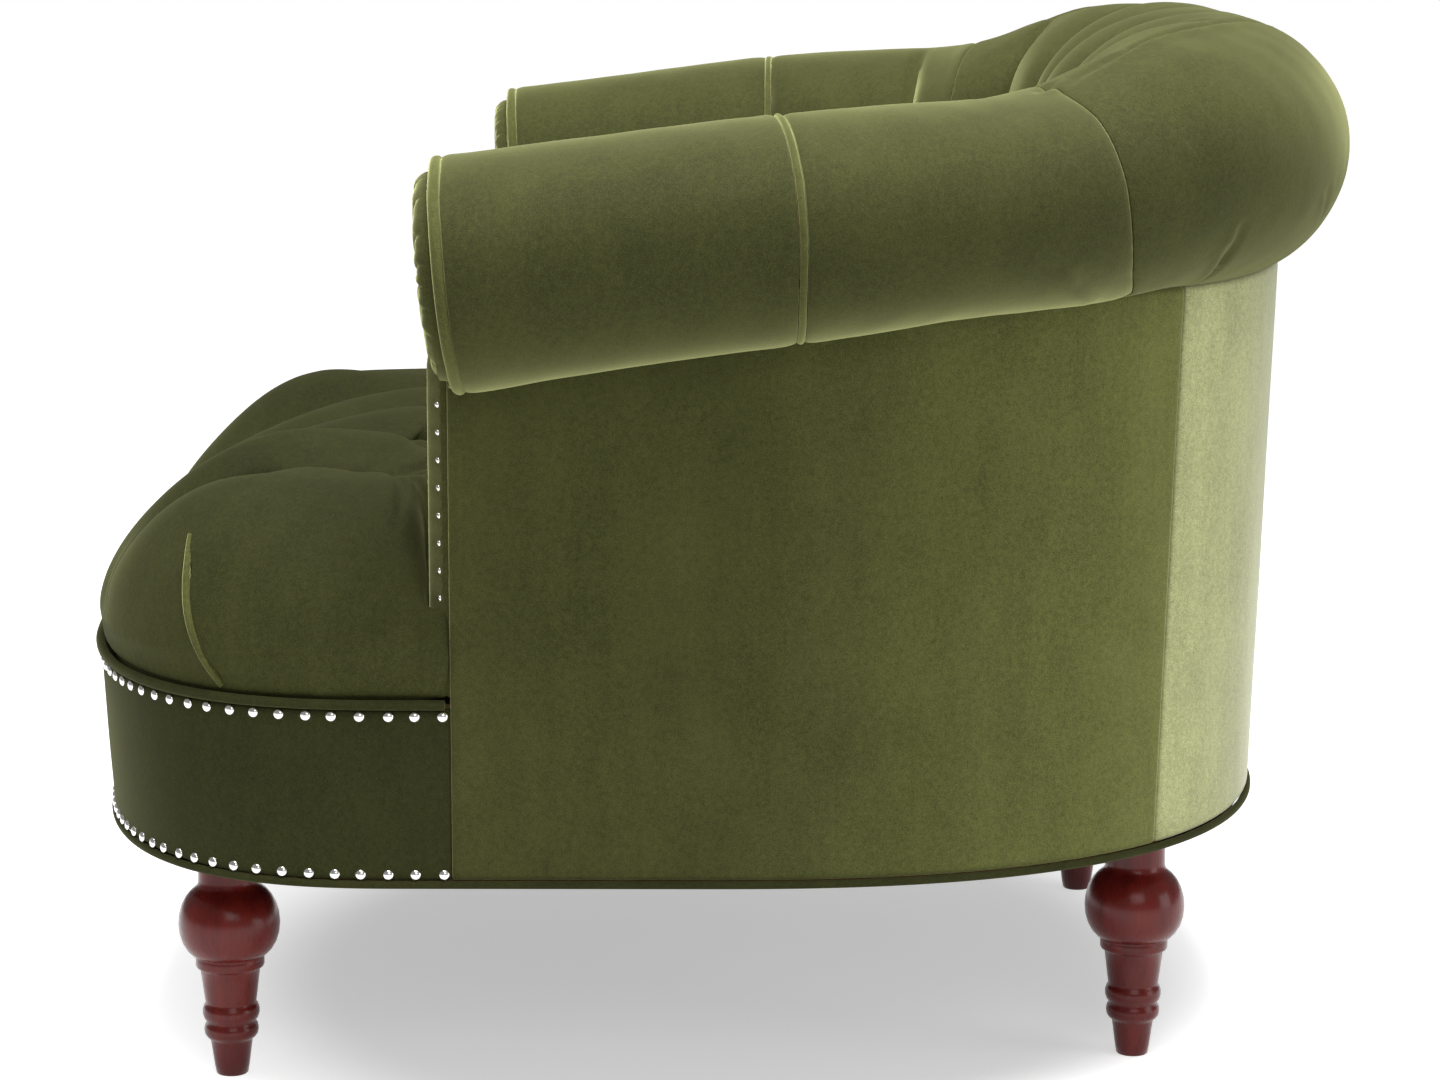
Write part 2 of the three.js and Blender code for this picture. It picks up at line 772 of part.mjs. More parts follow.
// Pleated round facing on the arm front
function armFacing() {
  const roll = rollAt(0);
  const centre = shell.place(0, roll.out, roll.z);
  const faceY = panelFrontY - seatGap;
  const wide = roll.across - facingInset;
  const high = roll.up - facingInset;
  const rings = [];
  const spokesAt = (share, y) => evenStations(0, 2 * Math.PI, facingSpokes).slice(0, -1).map((angle) => {
    const x = centre.x + wide * share * Math.cos(angle);
    return new THREE.Vector3(x, y(angle), centre.z + high * share * Math.sin(angle));
  });
  rings.push(spokesAt(1, () => faceY));
  for (let i = 0; i < facingRings; i += 1) {
    const share = 1 - i / facingRings;
    rings.push(spokesAt(share, (angle) => {
      const pleat = Math.abs(Math.sin((angle * facingPleats) / 2));
      const pleated = facingPleatShare * smoothstep(share, 1 / facingRings, facingHollowShare);
      const fullness = 1 - pleated * (1 - pleat);
      return faceY - facingEdge - (facingBulge - facingEdge) * facingDome(share) * fullness;
    }));
  }
  const flat = (ring) => ring.map((p) => new THREE.Vector2(p.x, p.z));
  return solidFromRings(rings, [flat(rings[0]), flat(rings[rings.length - 1])]);
}

addPair("arm_facing", armFacing(), velvet);

function facingButton() {
  const roll = rollAt(0);
  const baseRadius = buttonRadius - buttonBaseInset;
  const [shoulderRadius, shoulderHeight] = buttonShoulderShares;
  const profile = [
    new THREE.Vector2(0, 0),
    new THREE.Vector2(baseRadius, 0),
    new THREE.Vector2(buttonRadius, buttonHeight / 3),
    new THREE.Vector2(buttonRadius * shoulderRadius, buttonHeight * shoulderHeight),
    new THREE.Vector2(0, buttonHeight),
  ];
  const button = new THREE.LatheGeometry(profile, legSides);
  button.rotateX(Math.PI);
  const hollow = (facingBulge - facingEdge) * facingDome(1 / facingRings);
  const y = panelFrontY - 2 * seatGap - facingEdge - hollow;
  const centre = shell.place(0, roll.out, roll.z);
  return button.translate(centre.x, y, centre.z);
}

addPair("facing_button", facingButton(), velvet);

// Stuffed facing down the post, behind the wing of the seat
function postFacing() {
  const roll = rollAt(0);
  const outer = panelHalfWidth - postFacingOuterInset;
  const inner = panelHalfWidth + roll.inside + facingInset;
  const clear = facingInset - padGap;
  const first = underAngle(roll, outer - panelHalfWidth, clear);
  const last = Math.asin(postFacingNeckDrop / (roll.up - clear)) - Math.PI;
  const outline = new THREE.Shape();
  outline.moveTo(inner, padFootZ);
  outline.lineTo(outer, padFootZ);
  arcOnRoll(roll, first, last, postFacingArcSteps, clear).forEach((point) => {
    outline.lineTo(panelHalfWidth + point.x, point.y);
  });
  const neck = onRoll(roll, last, clear);
  outline.lineTo(panelHalfWidth + neck.x - postFacingNeck, neck.y);
  outline.lineTo(inner, insideLowZ);
  const settings = {
    depth: postFacingThickness - 2 * postFacingBevel,
    bevelThickness: postFacingBevel,
    bevelSize: postFacingBevel,
    bevelOffset: -postFacingBevel,
    bevelSegments: 2,
  };
  const facing = new THREE.ExtrudeGeometry(outline, settings);
  facing.rotateX(Math.PI / 2);
  facing.computeBoundingBox();
  return facing.translate(0, panelFrontY - seatGap - facing.boundingBox.max.y, 0);
}

addPair("post_facing", postFacing(), velvet);

// The tufted seat: strips that run from the front welt over the crown to the back
const insideEdge = (distance) => rollAt(distance).inside - seatSideGap;
const wingBackY = panelFrontY - seatGap - postFacingThickness - padGap;
const insideX = panelHalfWidth + armInsideOut - seatSideGap;

function seatBackY(x) {
  const reach = Math.min(Math.abs(x), insideX - seatSideGap);
  let low = 0;
  let high = shell.half;
  for (let i = 0; i < bisections; i += 1) {
    const middle = (low + high) / 2;
    if (shell.place(middle, insideEdge(middle), padFootZ).x > reach) low = middle;
    else high = middle;
  }
  return shell.place(low, insideEdge(low), padFootZ).y;
}

const bowLine = evenStations(0, bow.half, bowSamples).map((s) => ({
  point: bow.place(s, seatBulge, seatBulgeZ),
  away: bow.outward(s),
}));

// The nearest place on the front edge of the seat, and how far in from it a point lies
function nearestEdge(x, y) {
  let best = { depth: Infinity };
  bowLine.forEach(({ point, away }) => {
    const depth = Math.hypot(point.x - Math.abs(x), point.y - y);
    if (depth < best.depth) best = { depth, away };
  });
  return best;
}

// Folds stand at whole columns. Past the corner pleat one smooth puff runs round to the arm.
function seatColumn(x) {
  const reach = Math.abs(x);
  if (reach <= cornerPleatX) return reach / channelPitch;
  return (cornerPleatX + (reach - cornerPleatX) / 2) / channelPitch;
}

function seatRing(x) {
  const front = bow.distanceWhere("x", Math.abs(x));
  const column = seatColumn(x);
  const edge = bow.place(front, seatBulge, seatBulgeZ);
  const away = bow.outward(front);
  const backY = Math.max(seatBackY(x), wingBackY + seatEdgeReach);
  const deck = deckZ + padGap / 2;
  const ring = [bow.place(front, 0, deck), bow.place(front, 0, seatWeltZ), edge];
  const sideRoom = insideX - Math.abs(x);
  for (let i = 1; i <= seatRows; i += 1) {
    const share = lerp((i / seatRows) ** seatRowPower, i / seatRows, seatRowEvenness);
    const y = lerp(edge.y, backY, share);
    const { depth, away: nearest } = nearestEdge(x, y);
    const shoulder = lerp(sideShoulder, frontShoulder, nearest.y ** 2);
    const flat = 1 - clamp(1 - depth / shoulder, 0, 1) ** seatCrownPower;
    const sine = flat ** (1 / seatCrownPower);
    const behindPost = smoothstep(y, wingBackY - seatEdgeReach, wingBackY + seatEdgeReach);
    const fromArm = lerp(1, smoothstep(sideRoom, 0, seatEdgeReach), behindPost);
    const fade = Math.min(smoothstep(backY - y, 0, seatEdgeReach), fromArm);
    const row = (y - seatFirstRowY) / seatRowPitch;
    const fold = seatTuftDepth * (1 - puffShare(column, row)) * lerp(seatFrontFoldShare, 1, sine) * fade;
    const point = new THREE.Vector3(Math.abs(x), y, 0);
    point.addScaledVector(away, -fold * (1 - sine));
    point.z = lerp(seatBulgeZ, seatTopZ, sine) - fold * sine - seatEdgeDrop * (1 - fade);
    ring.push(point);
  }
  ring.push(new THREE.Vector3(Math.abs(x), backY, deck));
  if (x < 0) ring.forEach((point) => point.setX(-point.x));
  return ring;
}

// The seat's outline in plan: a T that is cut back beside the arms
function seatPlan() {
  const inside = shell.stations.map((s) => shell.place(s, insideEdge(s), padFootZ));
  const outline = inside.map((p) => new THREE.Vector2(p.x, p.y));
  const wingX = panelHalfWidth * 2;
  const frontY = bowFrontY * 2;
  outline.unshift(new THREE.Vector2(insideX, wingBackY));
  outline.unshift(new THREE.Vector2(wingX, wingBackY));
  outline.unshift(new THREE.Vector2(wingX, frontY));
  outline.push(new THREE.Vector2(-insideX, wingBackY));
  outline.push(new THREE.Vector2(-wingX, wingBackY));
  outline.push(new THREE.Vector2(-wingX, frontY));
  return outline;
}

function seatPad() {
  const near = seatPlacesX();
  const places = [...near.slice(1).reverse(), ...near.map((x) => -x)];
  const rings = places.map((x) => seatRing(x === 0 ? 0 : x));
  const flat = (ring) => ring.map((p) => new THREE.Vector2(p.y, p.z));
  const full = toManifold(solidFromRings(rings, [flat(rings[0]), flat(rings[rings.length - 1])]));
  const plan = toManifold(planSheet(seatPlan(), [], 0, seatTopZ * 2));
  const weltTopZ = seatWeltZ + seatWeltDiameter / 2 + seatGap;
  const step = plateSection(coverThickness, -coverThickness - padGap, baseZ, weltTopZ);
  const border = toManifold(sweep(bow, 0, bow.length, () => step));
  return fromManifold(full.intersect(plan).subtract(border));
}

addNode("seat_pad", seatPad(), velvet);

// Spring cover and dust cover, cut to the plan of the chair
function planOutline(shellOut, bowOut, z) {
  const points = shell.stations.map((s) => shell.place(s, shellOut, z));
  const front = [...bow.stations].reverse().map((s) => bow.place(s, bowOut, z));
  return [...points, ...front].map((p) => new THREE.Vector2(p.x, p.y));
}

function planSheet(outline, holes, z, thickness) {
  const shape = new THREE.Shape(outline);
  shape.holes = holes;
  const sheet = new THREE.ExtrudeGeometry(shape, { depth: thickness, bevelEnabled: false });
  return sheet.translate(0, 0, z);
}

const deckOutline = planOutline(-deckInset, -coverThickness - padGap, deckZ);
addNode("spring_cover", planSheet(deckOutline, [], deckZ - deckThickness, deckThickness), backing);

// Legs stand at these places along the bow and the barrel
const frontLegAlong = bow.distanceWhere("x", frontLegX);
const rearLegAlong = shell.distanceWhere("x", rearLegX);
const legSpots = {
  front_left: bow.place(frontLegAlong, -frontLegInset, baseZ),
  rear_left: shell.place(rearLegAlong, -rearLegInset, baseZ),
};
legSpots.front_right = legSpots.front_left.clone().multiply(new THREE.Vector3(-1, 1, 1));
legSpots.rear_right = legSpots.rear_left.clone().multiply(new THREE.Vector3(-1, 1, 1));

function boltHole(spot) {
  const hole = new THREE.Path();
  hole.absarc(spot.x, spot.y, boltRadius + 2 * seatGap, 0, 2 * Math.PI);
  const round = new THREE.Path(hole.getSpacedPoints(legSides).slice(0, legSides));
  return round;
}

const dustHoles = Object.values(legSpots).map(boltHole);
const dustOutline = planOutline(-dustCoverInset, -dustCoverInset, baseZ);
const dustZ = baseZ + seatGap;
addNode("dust_cover", planSheet(dustOutline, dustHoles, dustZ, dustCoverThickness), lining);

// Zigzag springs from the front rail to the back rail
class ZigzagCurve extends THREE.Curve {
  constructor(x, fromY, toY, endZ) {
    super();
    Object.assign(this, { x, fromY, toY, endZ });
  }

  getPoint(t, target = new THREE.Vector3()) {
    const sway = springSwing * Math.sin(2 * Math.PI * springLoops * t);
    const y = lerp(this.fromY, this.toY, t);
    return target.set(this.x + sway, y, this.endZ + springArch * Math.sin(Math.PI * t));
  }
}

function seatSpring(x) {
  const frontEnd = bow.place(bow.distanceWhere("x", Math.abs(x)), -springEndInset, railTopZ);
  const backEnd = shell.place(shell.distanceWhere("x", Math.abs(x)), -springEndInset, railTopZ);
  const endZ = railTopZ + seatGap + springWire / 2;
  const path = new ZigzagCurve(x, frontEnd.y, backEnd.y, endZ);
  const outline = new THREE.Shape();
  outline.absarc(0, 0, springWire / 2, 0, 2 * Math.PI);
  const corners = new THREE.Shape(outline.getSpacedPoints(springSides).slice(0, springSides));
  const settings = { steps: springLoops * springStepsPerLoop, bevelEnabled: false, extrudePath: path };
  return new THREE.ExtrudeGeometry(corners, settings);
}

springPlaces.forEach((place, i) => {
  addNode(`seat_spring_${i + 1}`, seatSpring(place * springPitch), steel);
});

// Corner blocks behind the rails, drilled for the leg bolts
function cornerBlock(curve, along, spot) {
  const outer = railOuter - railThickness - padGap;
  const section = plateSection(outer, outer - blockWidth, railFootZ, railFootZ + blockHeight);
  const drillRadius = nutBarrelRadius + seatGap;
  const drill = new THREE.CylinderGeometry(drillRadius, drillRadius, blockHeight * 2, legSides);
  drill.rotateX(Math.PI / 2);
  drill.translate(spot.x, spot.y, railFootZ + blockHeight / 2);
  const block = toManifold(sweep(curve, along - blockHalfLength, along + blockHalfLength, () => section));
  return fromManifold(block.subtract(toManifold(drill)));
}

addPair("front_corner_block", cornerBlock(bow, frontLegAlong, legSpots.front_left), beech);
addPair("rear_corner_block", cornerBlock(shell, rearLegAlong, legSpots.rear_left), beech);

// Turned legs, from above the foot to below the neck: shares of the ball's radius and of the height
const legProfileShares = [
  [0.347, 0.042],
  [0.417, 0.152],
  [0.483, 0.17],
  [0.538, 0.2],
  [0.486, 0.235],
  [0.564, 0.282],
  [0.508, 0.319],
  [0.583, 0.473],
  [0.676, 0.485],
  [0.676, 0.521],
  [0.764, 0.536],
  [0.931, 0.594],
  [1, 0.673],
  [0.931, 0.758],
  [0.764, 0.812],
  [0.611, 0.848],
];

function turnedLeg(spot) {
  const bore = boltRadius + seatGap;
  const boreFootZ = baseZ - boltDepthInLeg;
  const turned = legProfileShares.map(([radius, height]) => [radius * legBallRadius, height * baseZ]);
  const foot = [[0, 0], [legFootRadius, 0]];
  const top = [[legNeckRadius, baseZ], [bore, baseZ], [bore, boreFootZ], [0, boreFootZ]];
  const profile = [...foot, ...turned, ...top];
  const leg = new THREE.LatheGeometry(profile.map(([r, z]) => new THREE.Vector2(r, z)), legSides);
  leg.rotateX(Math.PI / 2);
  return leg.translate(spot.x, spot.y, 0);
}

function hangerBolt(spot) {
  const bolt = new THREE.CylinderGeometry(boltRadius, boltRadius, boltLength, legSides);
  bolt.rotateX(Math.PI / 2);
  const lowZ = baseZ - boltDepthInLeg + seatGap;
  return bolt.translate(spot.x, spot.y, lowZ + boltLength / 2);
}

function teeNut(spot) {
  const bore = boltRadius + seatGap;
  const profile = [
    [bore, -nutBarrelLength],
    [nutBarrelRadius, -nutBarrelLength],
    [nutBarrelRadius, 0],
    [nutFlangeRadius, 0],
    [nutFlangeRadius, nutFlangeThickness],
    [bore, nutFlangeThickness],
    [bore, -nutBarrelLength],
  ];
  const nut = new THREE.LatheGeometry(profile.map(([r, z]) => new THREE.Vector2(r, z)), nutSides);
  nut.rotateX(Math.PI / 2);
  return nut.translate(spot.x, spot.y, railFootZ + blockHeight + seatGap);
}

Object.entries(legSpots).forEach(([place, spot]) => {
  addNode(`leg_${place}`, turnedLeg(spot), mahogany);
  addNode(`leg_bolt_${place}`, hangerBolt(spot), steel);
  addNode(`tee_nut_${place}`, teeNut(spot), steel);
});

export default group;
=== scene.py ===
"""Looks of a low tufted velvet armchair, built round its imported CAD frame.

Sizes are in millimetres in the frame of the CAD: the sitter faces -Y, +X is the
sitter's left and the floor is at Z = 0. Meshes are written in metres.
"""

import json
import logging
import math
from dataclasses import dataclass, field
from enum import Enum
from typing import Callable, Iterable, Sequence

import bpy
import numpy as np
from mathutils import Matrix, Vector


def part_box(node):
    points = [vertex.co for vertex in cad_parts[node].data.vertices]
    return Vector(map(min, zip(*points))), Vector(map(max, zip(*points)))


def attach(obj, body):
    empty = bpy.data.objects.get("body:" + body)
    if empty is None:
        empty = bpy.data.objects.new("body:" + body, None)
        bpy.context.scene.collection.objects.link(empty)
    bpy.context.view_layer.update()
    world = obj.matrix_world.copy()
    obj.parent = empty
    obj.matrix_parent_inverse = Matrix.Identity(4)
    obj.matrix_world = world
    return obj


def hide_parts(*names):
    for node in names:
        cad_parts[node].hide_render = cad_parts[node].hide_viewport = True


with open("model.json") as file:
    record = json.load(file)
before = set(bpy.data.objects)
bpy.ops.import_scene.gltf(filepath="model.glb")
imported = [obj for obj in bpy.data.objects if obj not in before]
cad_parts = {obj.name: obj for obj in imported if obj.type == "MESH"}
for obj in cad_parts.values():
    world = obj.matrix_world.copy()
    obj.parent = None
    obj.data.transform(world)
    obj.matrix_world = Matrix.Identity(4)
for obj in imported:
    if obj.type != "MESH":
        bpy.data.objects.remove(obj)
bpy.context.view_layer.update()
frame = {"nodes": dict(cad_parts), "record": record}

BODY = "root"
MM = 0.001
SIDES = {"left": 1.0, "right": -1.0}

log = logging.getLogger("armchair")

Number = np.ndarray | float
Link = bpy.types.NodeSocket | float | tuple[float, ...]
Pair = tuple[float, float]


class Slot(Enum):
    """Material slots of the record that the pieces take their finish from."""

    VELVET = "velvet"
    MAHOGANY = "mahogany"
    BEECH = "beech"
    BACKING = "backing"
    LINING = "lining"
    STEEL = "steel"


def mix(low: Number, high: Number, share: Number) -> Number:
    """Straight mix of two values.

    Args:
        low: Value at share 0.
        high: Value at share 1.
        share: Place between them.

    Returns:
        The mixed value.
    """
    return low + (high - low) * share


def ease(place: Number, low: Number, high: Number) -> Number:
    """Smooth step from 0 at low to 1 at high.

    Args:
        place: Where to read it.
        low: Place of 0.
        high: Place of 1.

    Returns:
        The eased share.
    """
    share = np.clip((place - low) / (high - low), 0.0, 1.0)
    return share * share * (3.0 - 2.0 * share)


def bump(place: Number, centre: float, width: float) -> Number:
    """Round bell of height 1.

    Args:
        place: Where to read it.
        centre: Place of its top.
        width: Distance at which it has fallen to a third.

    Returns:
        The height of the bell.
    """
    return np.exp(-(((place - centre) / width) ** 2))


def walk(line: np.ndarray) -> np.ndarray:
    """Distance walked along a line of points.

    Args:
        line: The points.

    Returns:
        The distance at each.
    """
    return np.concatenate([[0.0], np.cumsum(np.linalg.norm(np.diff(line, axis=0), axis=1))])


def ripple(points: np.ndarray, length: float, seed: int) -> np.ndarray:
    """Smooth aperiodic wave through space, for hand-made unevenness.

    Args:
        points: Places, in millimetres.
        length: Rough length of a wave.
        seed: Which wave.

    Returns:
        Values from about -1 to 1.
    """
    draw = np.random.default_rng(seed)
    total = np.zeros(points.shape[:-1])
    for _ in range(6):
        way = draw.normal(size=3)
        way *= draw.uniform(0.7, 1.5) / np.linalg.norm(way)
        total += np.sin(points @ way * (2 * math.pi / length) + draw.uniform(0, 2 * math.pi))
    return total / 3.5


@dataclass
class PlanLine:
    """Line in plan with straight sides that turn into a superellipse.

    Distance along it starts at its end on the +X side.
    """

    half_width: float
    start_y: float
    bend_y: float
    end_y: float
    squareness: float
    lean: float
    lean_from_z: float
    lean_to_z: float
    samples: int = 6001
    line: np.ndarray = field(init=False, repr=False)
    walked: np.ndarray = field(init=False, repr=False)

    def __post_init__(self) -> None:
        """Measures the line once, in small steps."""
        t = np.linspace(0.0, 1.0, self.samples)
        along = 1.0 - np.abs(1.0 - 2.0 * t)
        straight = abs(self.bend_y - self.start_y)
        share = straight / (straight + abs(self.end_y - self.bend_y) + self.half_width)
        angle = np.clip((along - share) / (1.0 - share), 0.0, 1.0) * math.pi / 2
        power = 2.0 / self.squareness
        x = self.half_width * np.maximum(np.cos(angle), 0.0) ** power
        y = mix(self.bend_y, self.end_y, np.sin(angle) ** power)
        y = np.where(along < share, mix(self.start_y, self.bend_y, along / share), y)
        self.line = np.stack([np.where(t < 0.5, x, -x), y], axis=-1)
        self.walked = walk(self.line)

    @property
    def length(self) -> float:
        """Length of the whole line."""
        return float(self.walked[-1])

    @property
    def half(self) -> float:
        """Distance to the middle of the line."""
        return self.length / 2

    def point(self, distance: np.ndarray) -> np.ndarray:
        """Point of the line.

        Args:
            distance: Distances along it.

        Returns:
            X and Y of each.
        """
        x = np.interp(distance, self.walked, self.line[:, 0])
        y = np.interp(distance, self.walked, self.line[:, 1])
        return np.stack([x, y], axis=-1)

    def heading(self, distance: np.ndarray) -> np.ndarray:
        """Unit vector along the line.

        Args:
            distance: Distances along it.

        Returns:
            X and Y of each vector.
        """
        step = 0.8
        low = np.clip(distance - step, 0.0, self.length - 2 * step)
        way = self.point(low + 2 * step) - self.point(low)
        return way / np.linalg.norm(way, axis=-1, keepdims=True)

    def outward(self, distance: np.ndarray) -> np.ndarray:
        """Unit vector that points away from the chair.

        Args:
            distance: Distances along the line.

        Returns:
            X and Y of each vector.
        """
        way = self.heading(distance)
        turn = math.copysign(1.0, self.end_y - self.start_y)
        return np.stack([turn * way[..., 1], -turn * way[..., 0]], axis=-1)

    def place(self, distance: Number, out: Number, z: Number) -> np.ndarray:
        """Point that stands out from the line at a height.

        Args:
            distance: Distances along the line.
            out: Distances outward from it.
            z: Heights.

        Returns:
            X, Y and Z of each point.
        """
        distance, out, z = np.broadcast_arrays(
            *(np.asarray(value, dtype=float) for value in (distance, out, z)))
        held = np.clip(distance, 0.0, self.length)
        away = self.outward(held)
        rise = (z - self.lean_from_z) / (self.lean_to_z - self.lean_from_z)
        lean = self.lean * away[..., 1] ** 2 * rise
        plan = self.point(held) + self.heading(held) * (distance - held)[..., None]
        plan = plan + away * (out + lean)[..., None]
        return np.concatenate([plan, z[..., None]], axis=-1)

    def where(self, axis: int, value: float) -> float:
        """Distance along the +X half at which a coordinate is reached.

        Args:
            axis: 0 for X, 1 for Y.
            value: The coordinate.

        Returns:
            The distance.
        """
        near = self.walked <= self.half
        along, reached = self.walked[near], self.line[near, axis]
        order = np.argsort(reached, kind="stable")
        return float(np.interp(value, reached[order], along[order]))


BASE_Z = 165.0
WELT_Z = 292.5
SHELL = PlanLine(half_width=400.0, start_y=-176.5, bend_y=-1.2, end_y=408.4, squareness=2.4, lean=15.0,
                 lean_from_z=BASE_Z, lean_to_z=580.0)
BOW = PlanLine(half_width=400.0, start_y=-176.8, bend_y=-209.2, end_y=-452.5, squareness=2.6, lean=8.0,
               lean_from_z=BASE_Z, lean_to_z=WELT_Z)

DECK_Z = 276.4
COVER = 8.0
PAD_GAP = 0.8
PAD_BACK = -53.6
INSIDE_LOW_Z = 450.0
PAD_FOOT_Z = 297.0
POST_NAIL_PITCH = 18.8
BASE_SEAM_Z = BASE_Z + 5.8
SEAT_SEAM_Z = WELT_Z - 3.8


@dataclass
class RollCut:
    """Sizes of the roll's section at each of some distances along the shell."""

    share: np.ndarray
    out: np.ndarray
    z: np.ndarray
    across: np.ndarray
    up: np.ndarray
    inside: np.ndarray
    pad: np.ndarray
    meet_z: np.ndarray


@dataclass
class Roll:
    """The roll that runs over both arms and the back.

    A pair holds a size at the arm fronts and the same size at the middle of the back.
    """

    mid_seam: float = SHELL.where(1, 44.8)
    corner_seam: float = SHELL.where(1, 228.8)
    back_seam: float = SHELL.where(1, 313.8)
    corner: float = SHELL.where(1, 304.8)
    tufts_per_side: float = 4.5
    hollow_turn: float = 1.7
    crest_z: tuple[float, ...] = (664.0, 692.0, 707.0, 736.0, 747.0, 747.0)
    under_z: tuple[float, ...] = (507.0, 541.0, 562.0, 564.0, 540.0)
    out: Pair = (25.0, -74.0)
    across: Pair = (84.0, 114.5)
    inside: Pair = (-80.0, -218.0)
    pad: Pair = (20.0, 28.0)
    meet_drop: Pair = (45.0, 105.0)

    @property
    def pitch(self) -> float:
        """Distance from tuft to tuft along the shell."""
        return (SHELL.half - self.mid_seam) / self.tufts_per_side

    @staticmethod
    def through(places: Sequence[float], values: Sequence[float], along: np.ndarray) -> np.ndarray:
        """Smooth line through knots.

        Args:
            places: Places of the knots.
            values: Their values.
            along: Where to read it.

        Returns:
            The values.
        """
        place, value = np.array(places), np.array(values)
        slope = np.empty_like(value)
        slope[1:-1] = (value[2:] - value[:-2]) / (place[2:] - place[:-2])
        slope[0] = (value[1] - value[0]) / (place[1] - place[0])
        slope[-1] = (value[-1] - value[-2]) / (place[-1] - place[-2])
        i = np.clip(np.searchsorted(place, along, side="right") - 1, 0, len(place) - 2)
        span = place[i + 1] - place[i]
        t = np.clip((along - place[i]) / span, 0.0, 1.0)
        start = (2 * t**3 - 3 * t**2 + 1) * value[i] + (t**3 - 2 * t**2 + t) * span * slope[i]
        end = (3 * t**2 - 2 * t**3) * value[i + 1] + (t**3 - t**2) * span * slope[i + 1]
        return start + end

    def cut(self, distance: np.ndarray) -> RollCut:
        """Section of the roll.

        Args:
            distance: Distances along the shell.

        Returns:
            The section's sizes at each distance.
        """
        along = np.clip(np.minimum(distance, SHELL.length - distance), 0.0, SHELL.half)
        share = ease(along, self.mid_seam, SHELL.half)
        stops = [0.0, self.mid_seam, self.corner_seam, self.corner]
        late = (self.corner + SHELL.half) / 2
        crest = self.through(stops + [late, SHELL.half], self.crest_z, along)
        under = self.through(stops + [SHELL.half], self.under_z, along)
        middle = (crest + under) / 2
        return RollCut(
            share=share, out=mix(*self.out, share), z=middle, across=mix(*self.across, share),
            up=(crest - under) / 2, inside=mix(*self.inside, share), pad=mix(*self.pad, share),
            meet_z=middle - mix(*self.meet_drop, share))

    @staticmethod
    def under_angle(cut: RollCut, out: float, shrink: Number) -> np.ndarray:
        """Angle under the roll where it crosses a plane.

        Args:
            cut: Sizes of the roll.
            out: How far the plane stands out from the shell.
            shrink: How far inside the roll's surface.

        Returns:
            The angle at each distance.
        """
        return -np.arccos(np.clip((out - cut.out) / (cut.across - shrink), -1.0, 1.0))

    @staticmethod
    def arc(cut: RollCut, start: Number, end: Number, steps: int, shrink: Number) -> np.ndarray:
        """Arc of the roll's section.

        Args:
            cut: Sizes of the roll.
            start: First angle at each distance.
            end: Last angle at each distance.
            steps: Count of steps.
            shrink: How far inside the roll's surface.

        Returns:
            Outward place and height of each point.
        """
        share = np.linspace(0.0, 1.0, steps + 1)
        start, end = np.broadcast_arrays(start, np.asarray(end, dtype=float))
        angle = start[..., None] + (end - start)[..., None] * share
        shrink = np.broadcast_to(shrink, cut.out.shape)[..., None]
        out = cut.out[..., None] + (cut.across[..., None] - shrink) * np.cos(angle)
        z = cut.z[..., None] + (cut.up[..., None] - shrink) * np.sin(angle)
        return np.stack([out, z], axis=-1)


ROLL = Roll()


@dataclass(frozen=True)
class Slant:
    """How far a seam round the roll strays along it, by its angle round the section."""

    knots: tuple[Pair, ...]

    def at(self, angle: np.ndarray) -> np.ndarray:
        """Distance that the seam strays.

        Args:
            angle: Angles round the section, in degrees: 0 outward, 90 up, 180 inward.

        Returns:
            The distance at each.
        """
        places, strays = zip(*self.knots)
        return np.interp(angle, places, strays)


FRONT_SLANT = Slant(((-90.0, 7.5), (-45.0, 5.3), (0.0, 0.0), (45.0, -5.3), (90.0, -7.5), (130.0, -5.0),
                     (180.0, 0.0)))
MID_SLANT = Slant(((-85.0, 11.7), (-32.0, 9.0), (0.0, 8.7), (29.0, 6.7), (60.0, 2.5), (90.0, -2.3),
                   (160.0, 0.0)))
CORNER_SLANT = Slant(((-90.0, 36.0), (-65.0, 32.5), (-44.0, 15.8), (-26.0, 7.0), (-12.0, 2.5), (0.0, 0.0),
                      (23.0, -3.0), (49.0, -5.3), (66.0, -9.7), (90.0, -12.0), (150.0, 0.0)))


def section_angle(cut: RollCut, out: np.ndarray, z: np.ndarray) -> np.ndarray:
    """Angle of points round the roll's section, in degrees.

    Args:
        cut: Sizes of the roll.
        out: Outward places, one row for each size.
        z: Heights.

    Returns:
        The angles, from -90 under the roll to 180 on its inner side.
    """
    across = (out - cut.out[:, None]) / cut.across[:, None]
    up = (z - cut.z[:, None]) / cut.up[:, None]
    angle = np.degrees(np.arctan2(up, across))
    return np.where(angle < -100.0, 180.0, angle)


def lattice(column: np.ndarray, row: np.ndarray) -> tuple[np.ndarray, np.ndarray]:
    """Distances from the folds of a diamond pattern, as sines.

    Args:
        column: Place across, in tufts.
        row: Place along, in rows. Before row 0 the folds run straight.

    Returns:
        0 on a fold and 1 halfway, for both ways that folds run.
    """
    wave = np.mod(row, 2.0)
    shift = np.where(row <= 0, 0.0, np.minimum(wave, 2.0 - wave) / 2)
    return np.abs(np.sin(np.pi * (column - shift))), np.abs(np.sin(np.pi * (column + shift)))


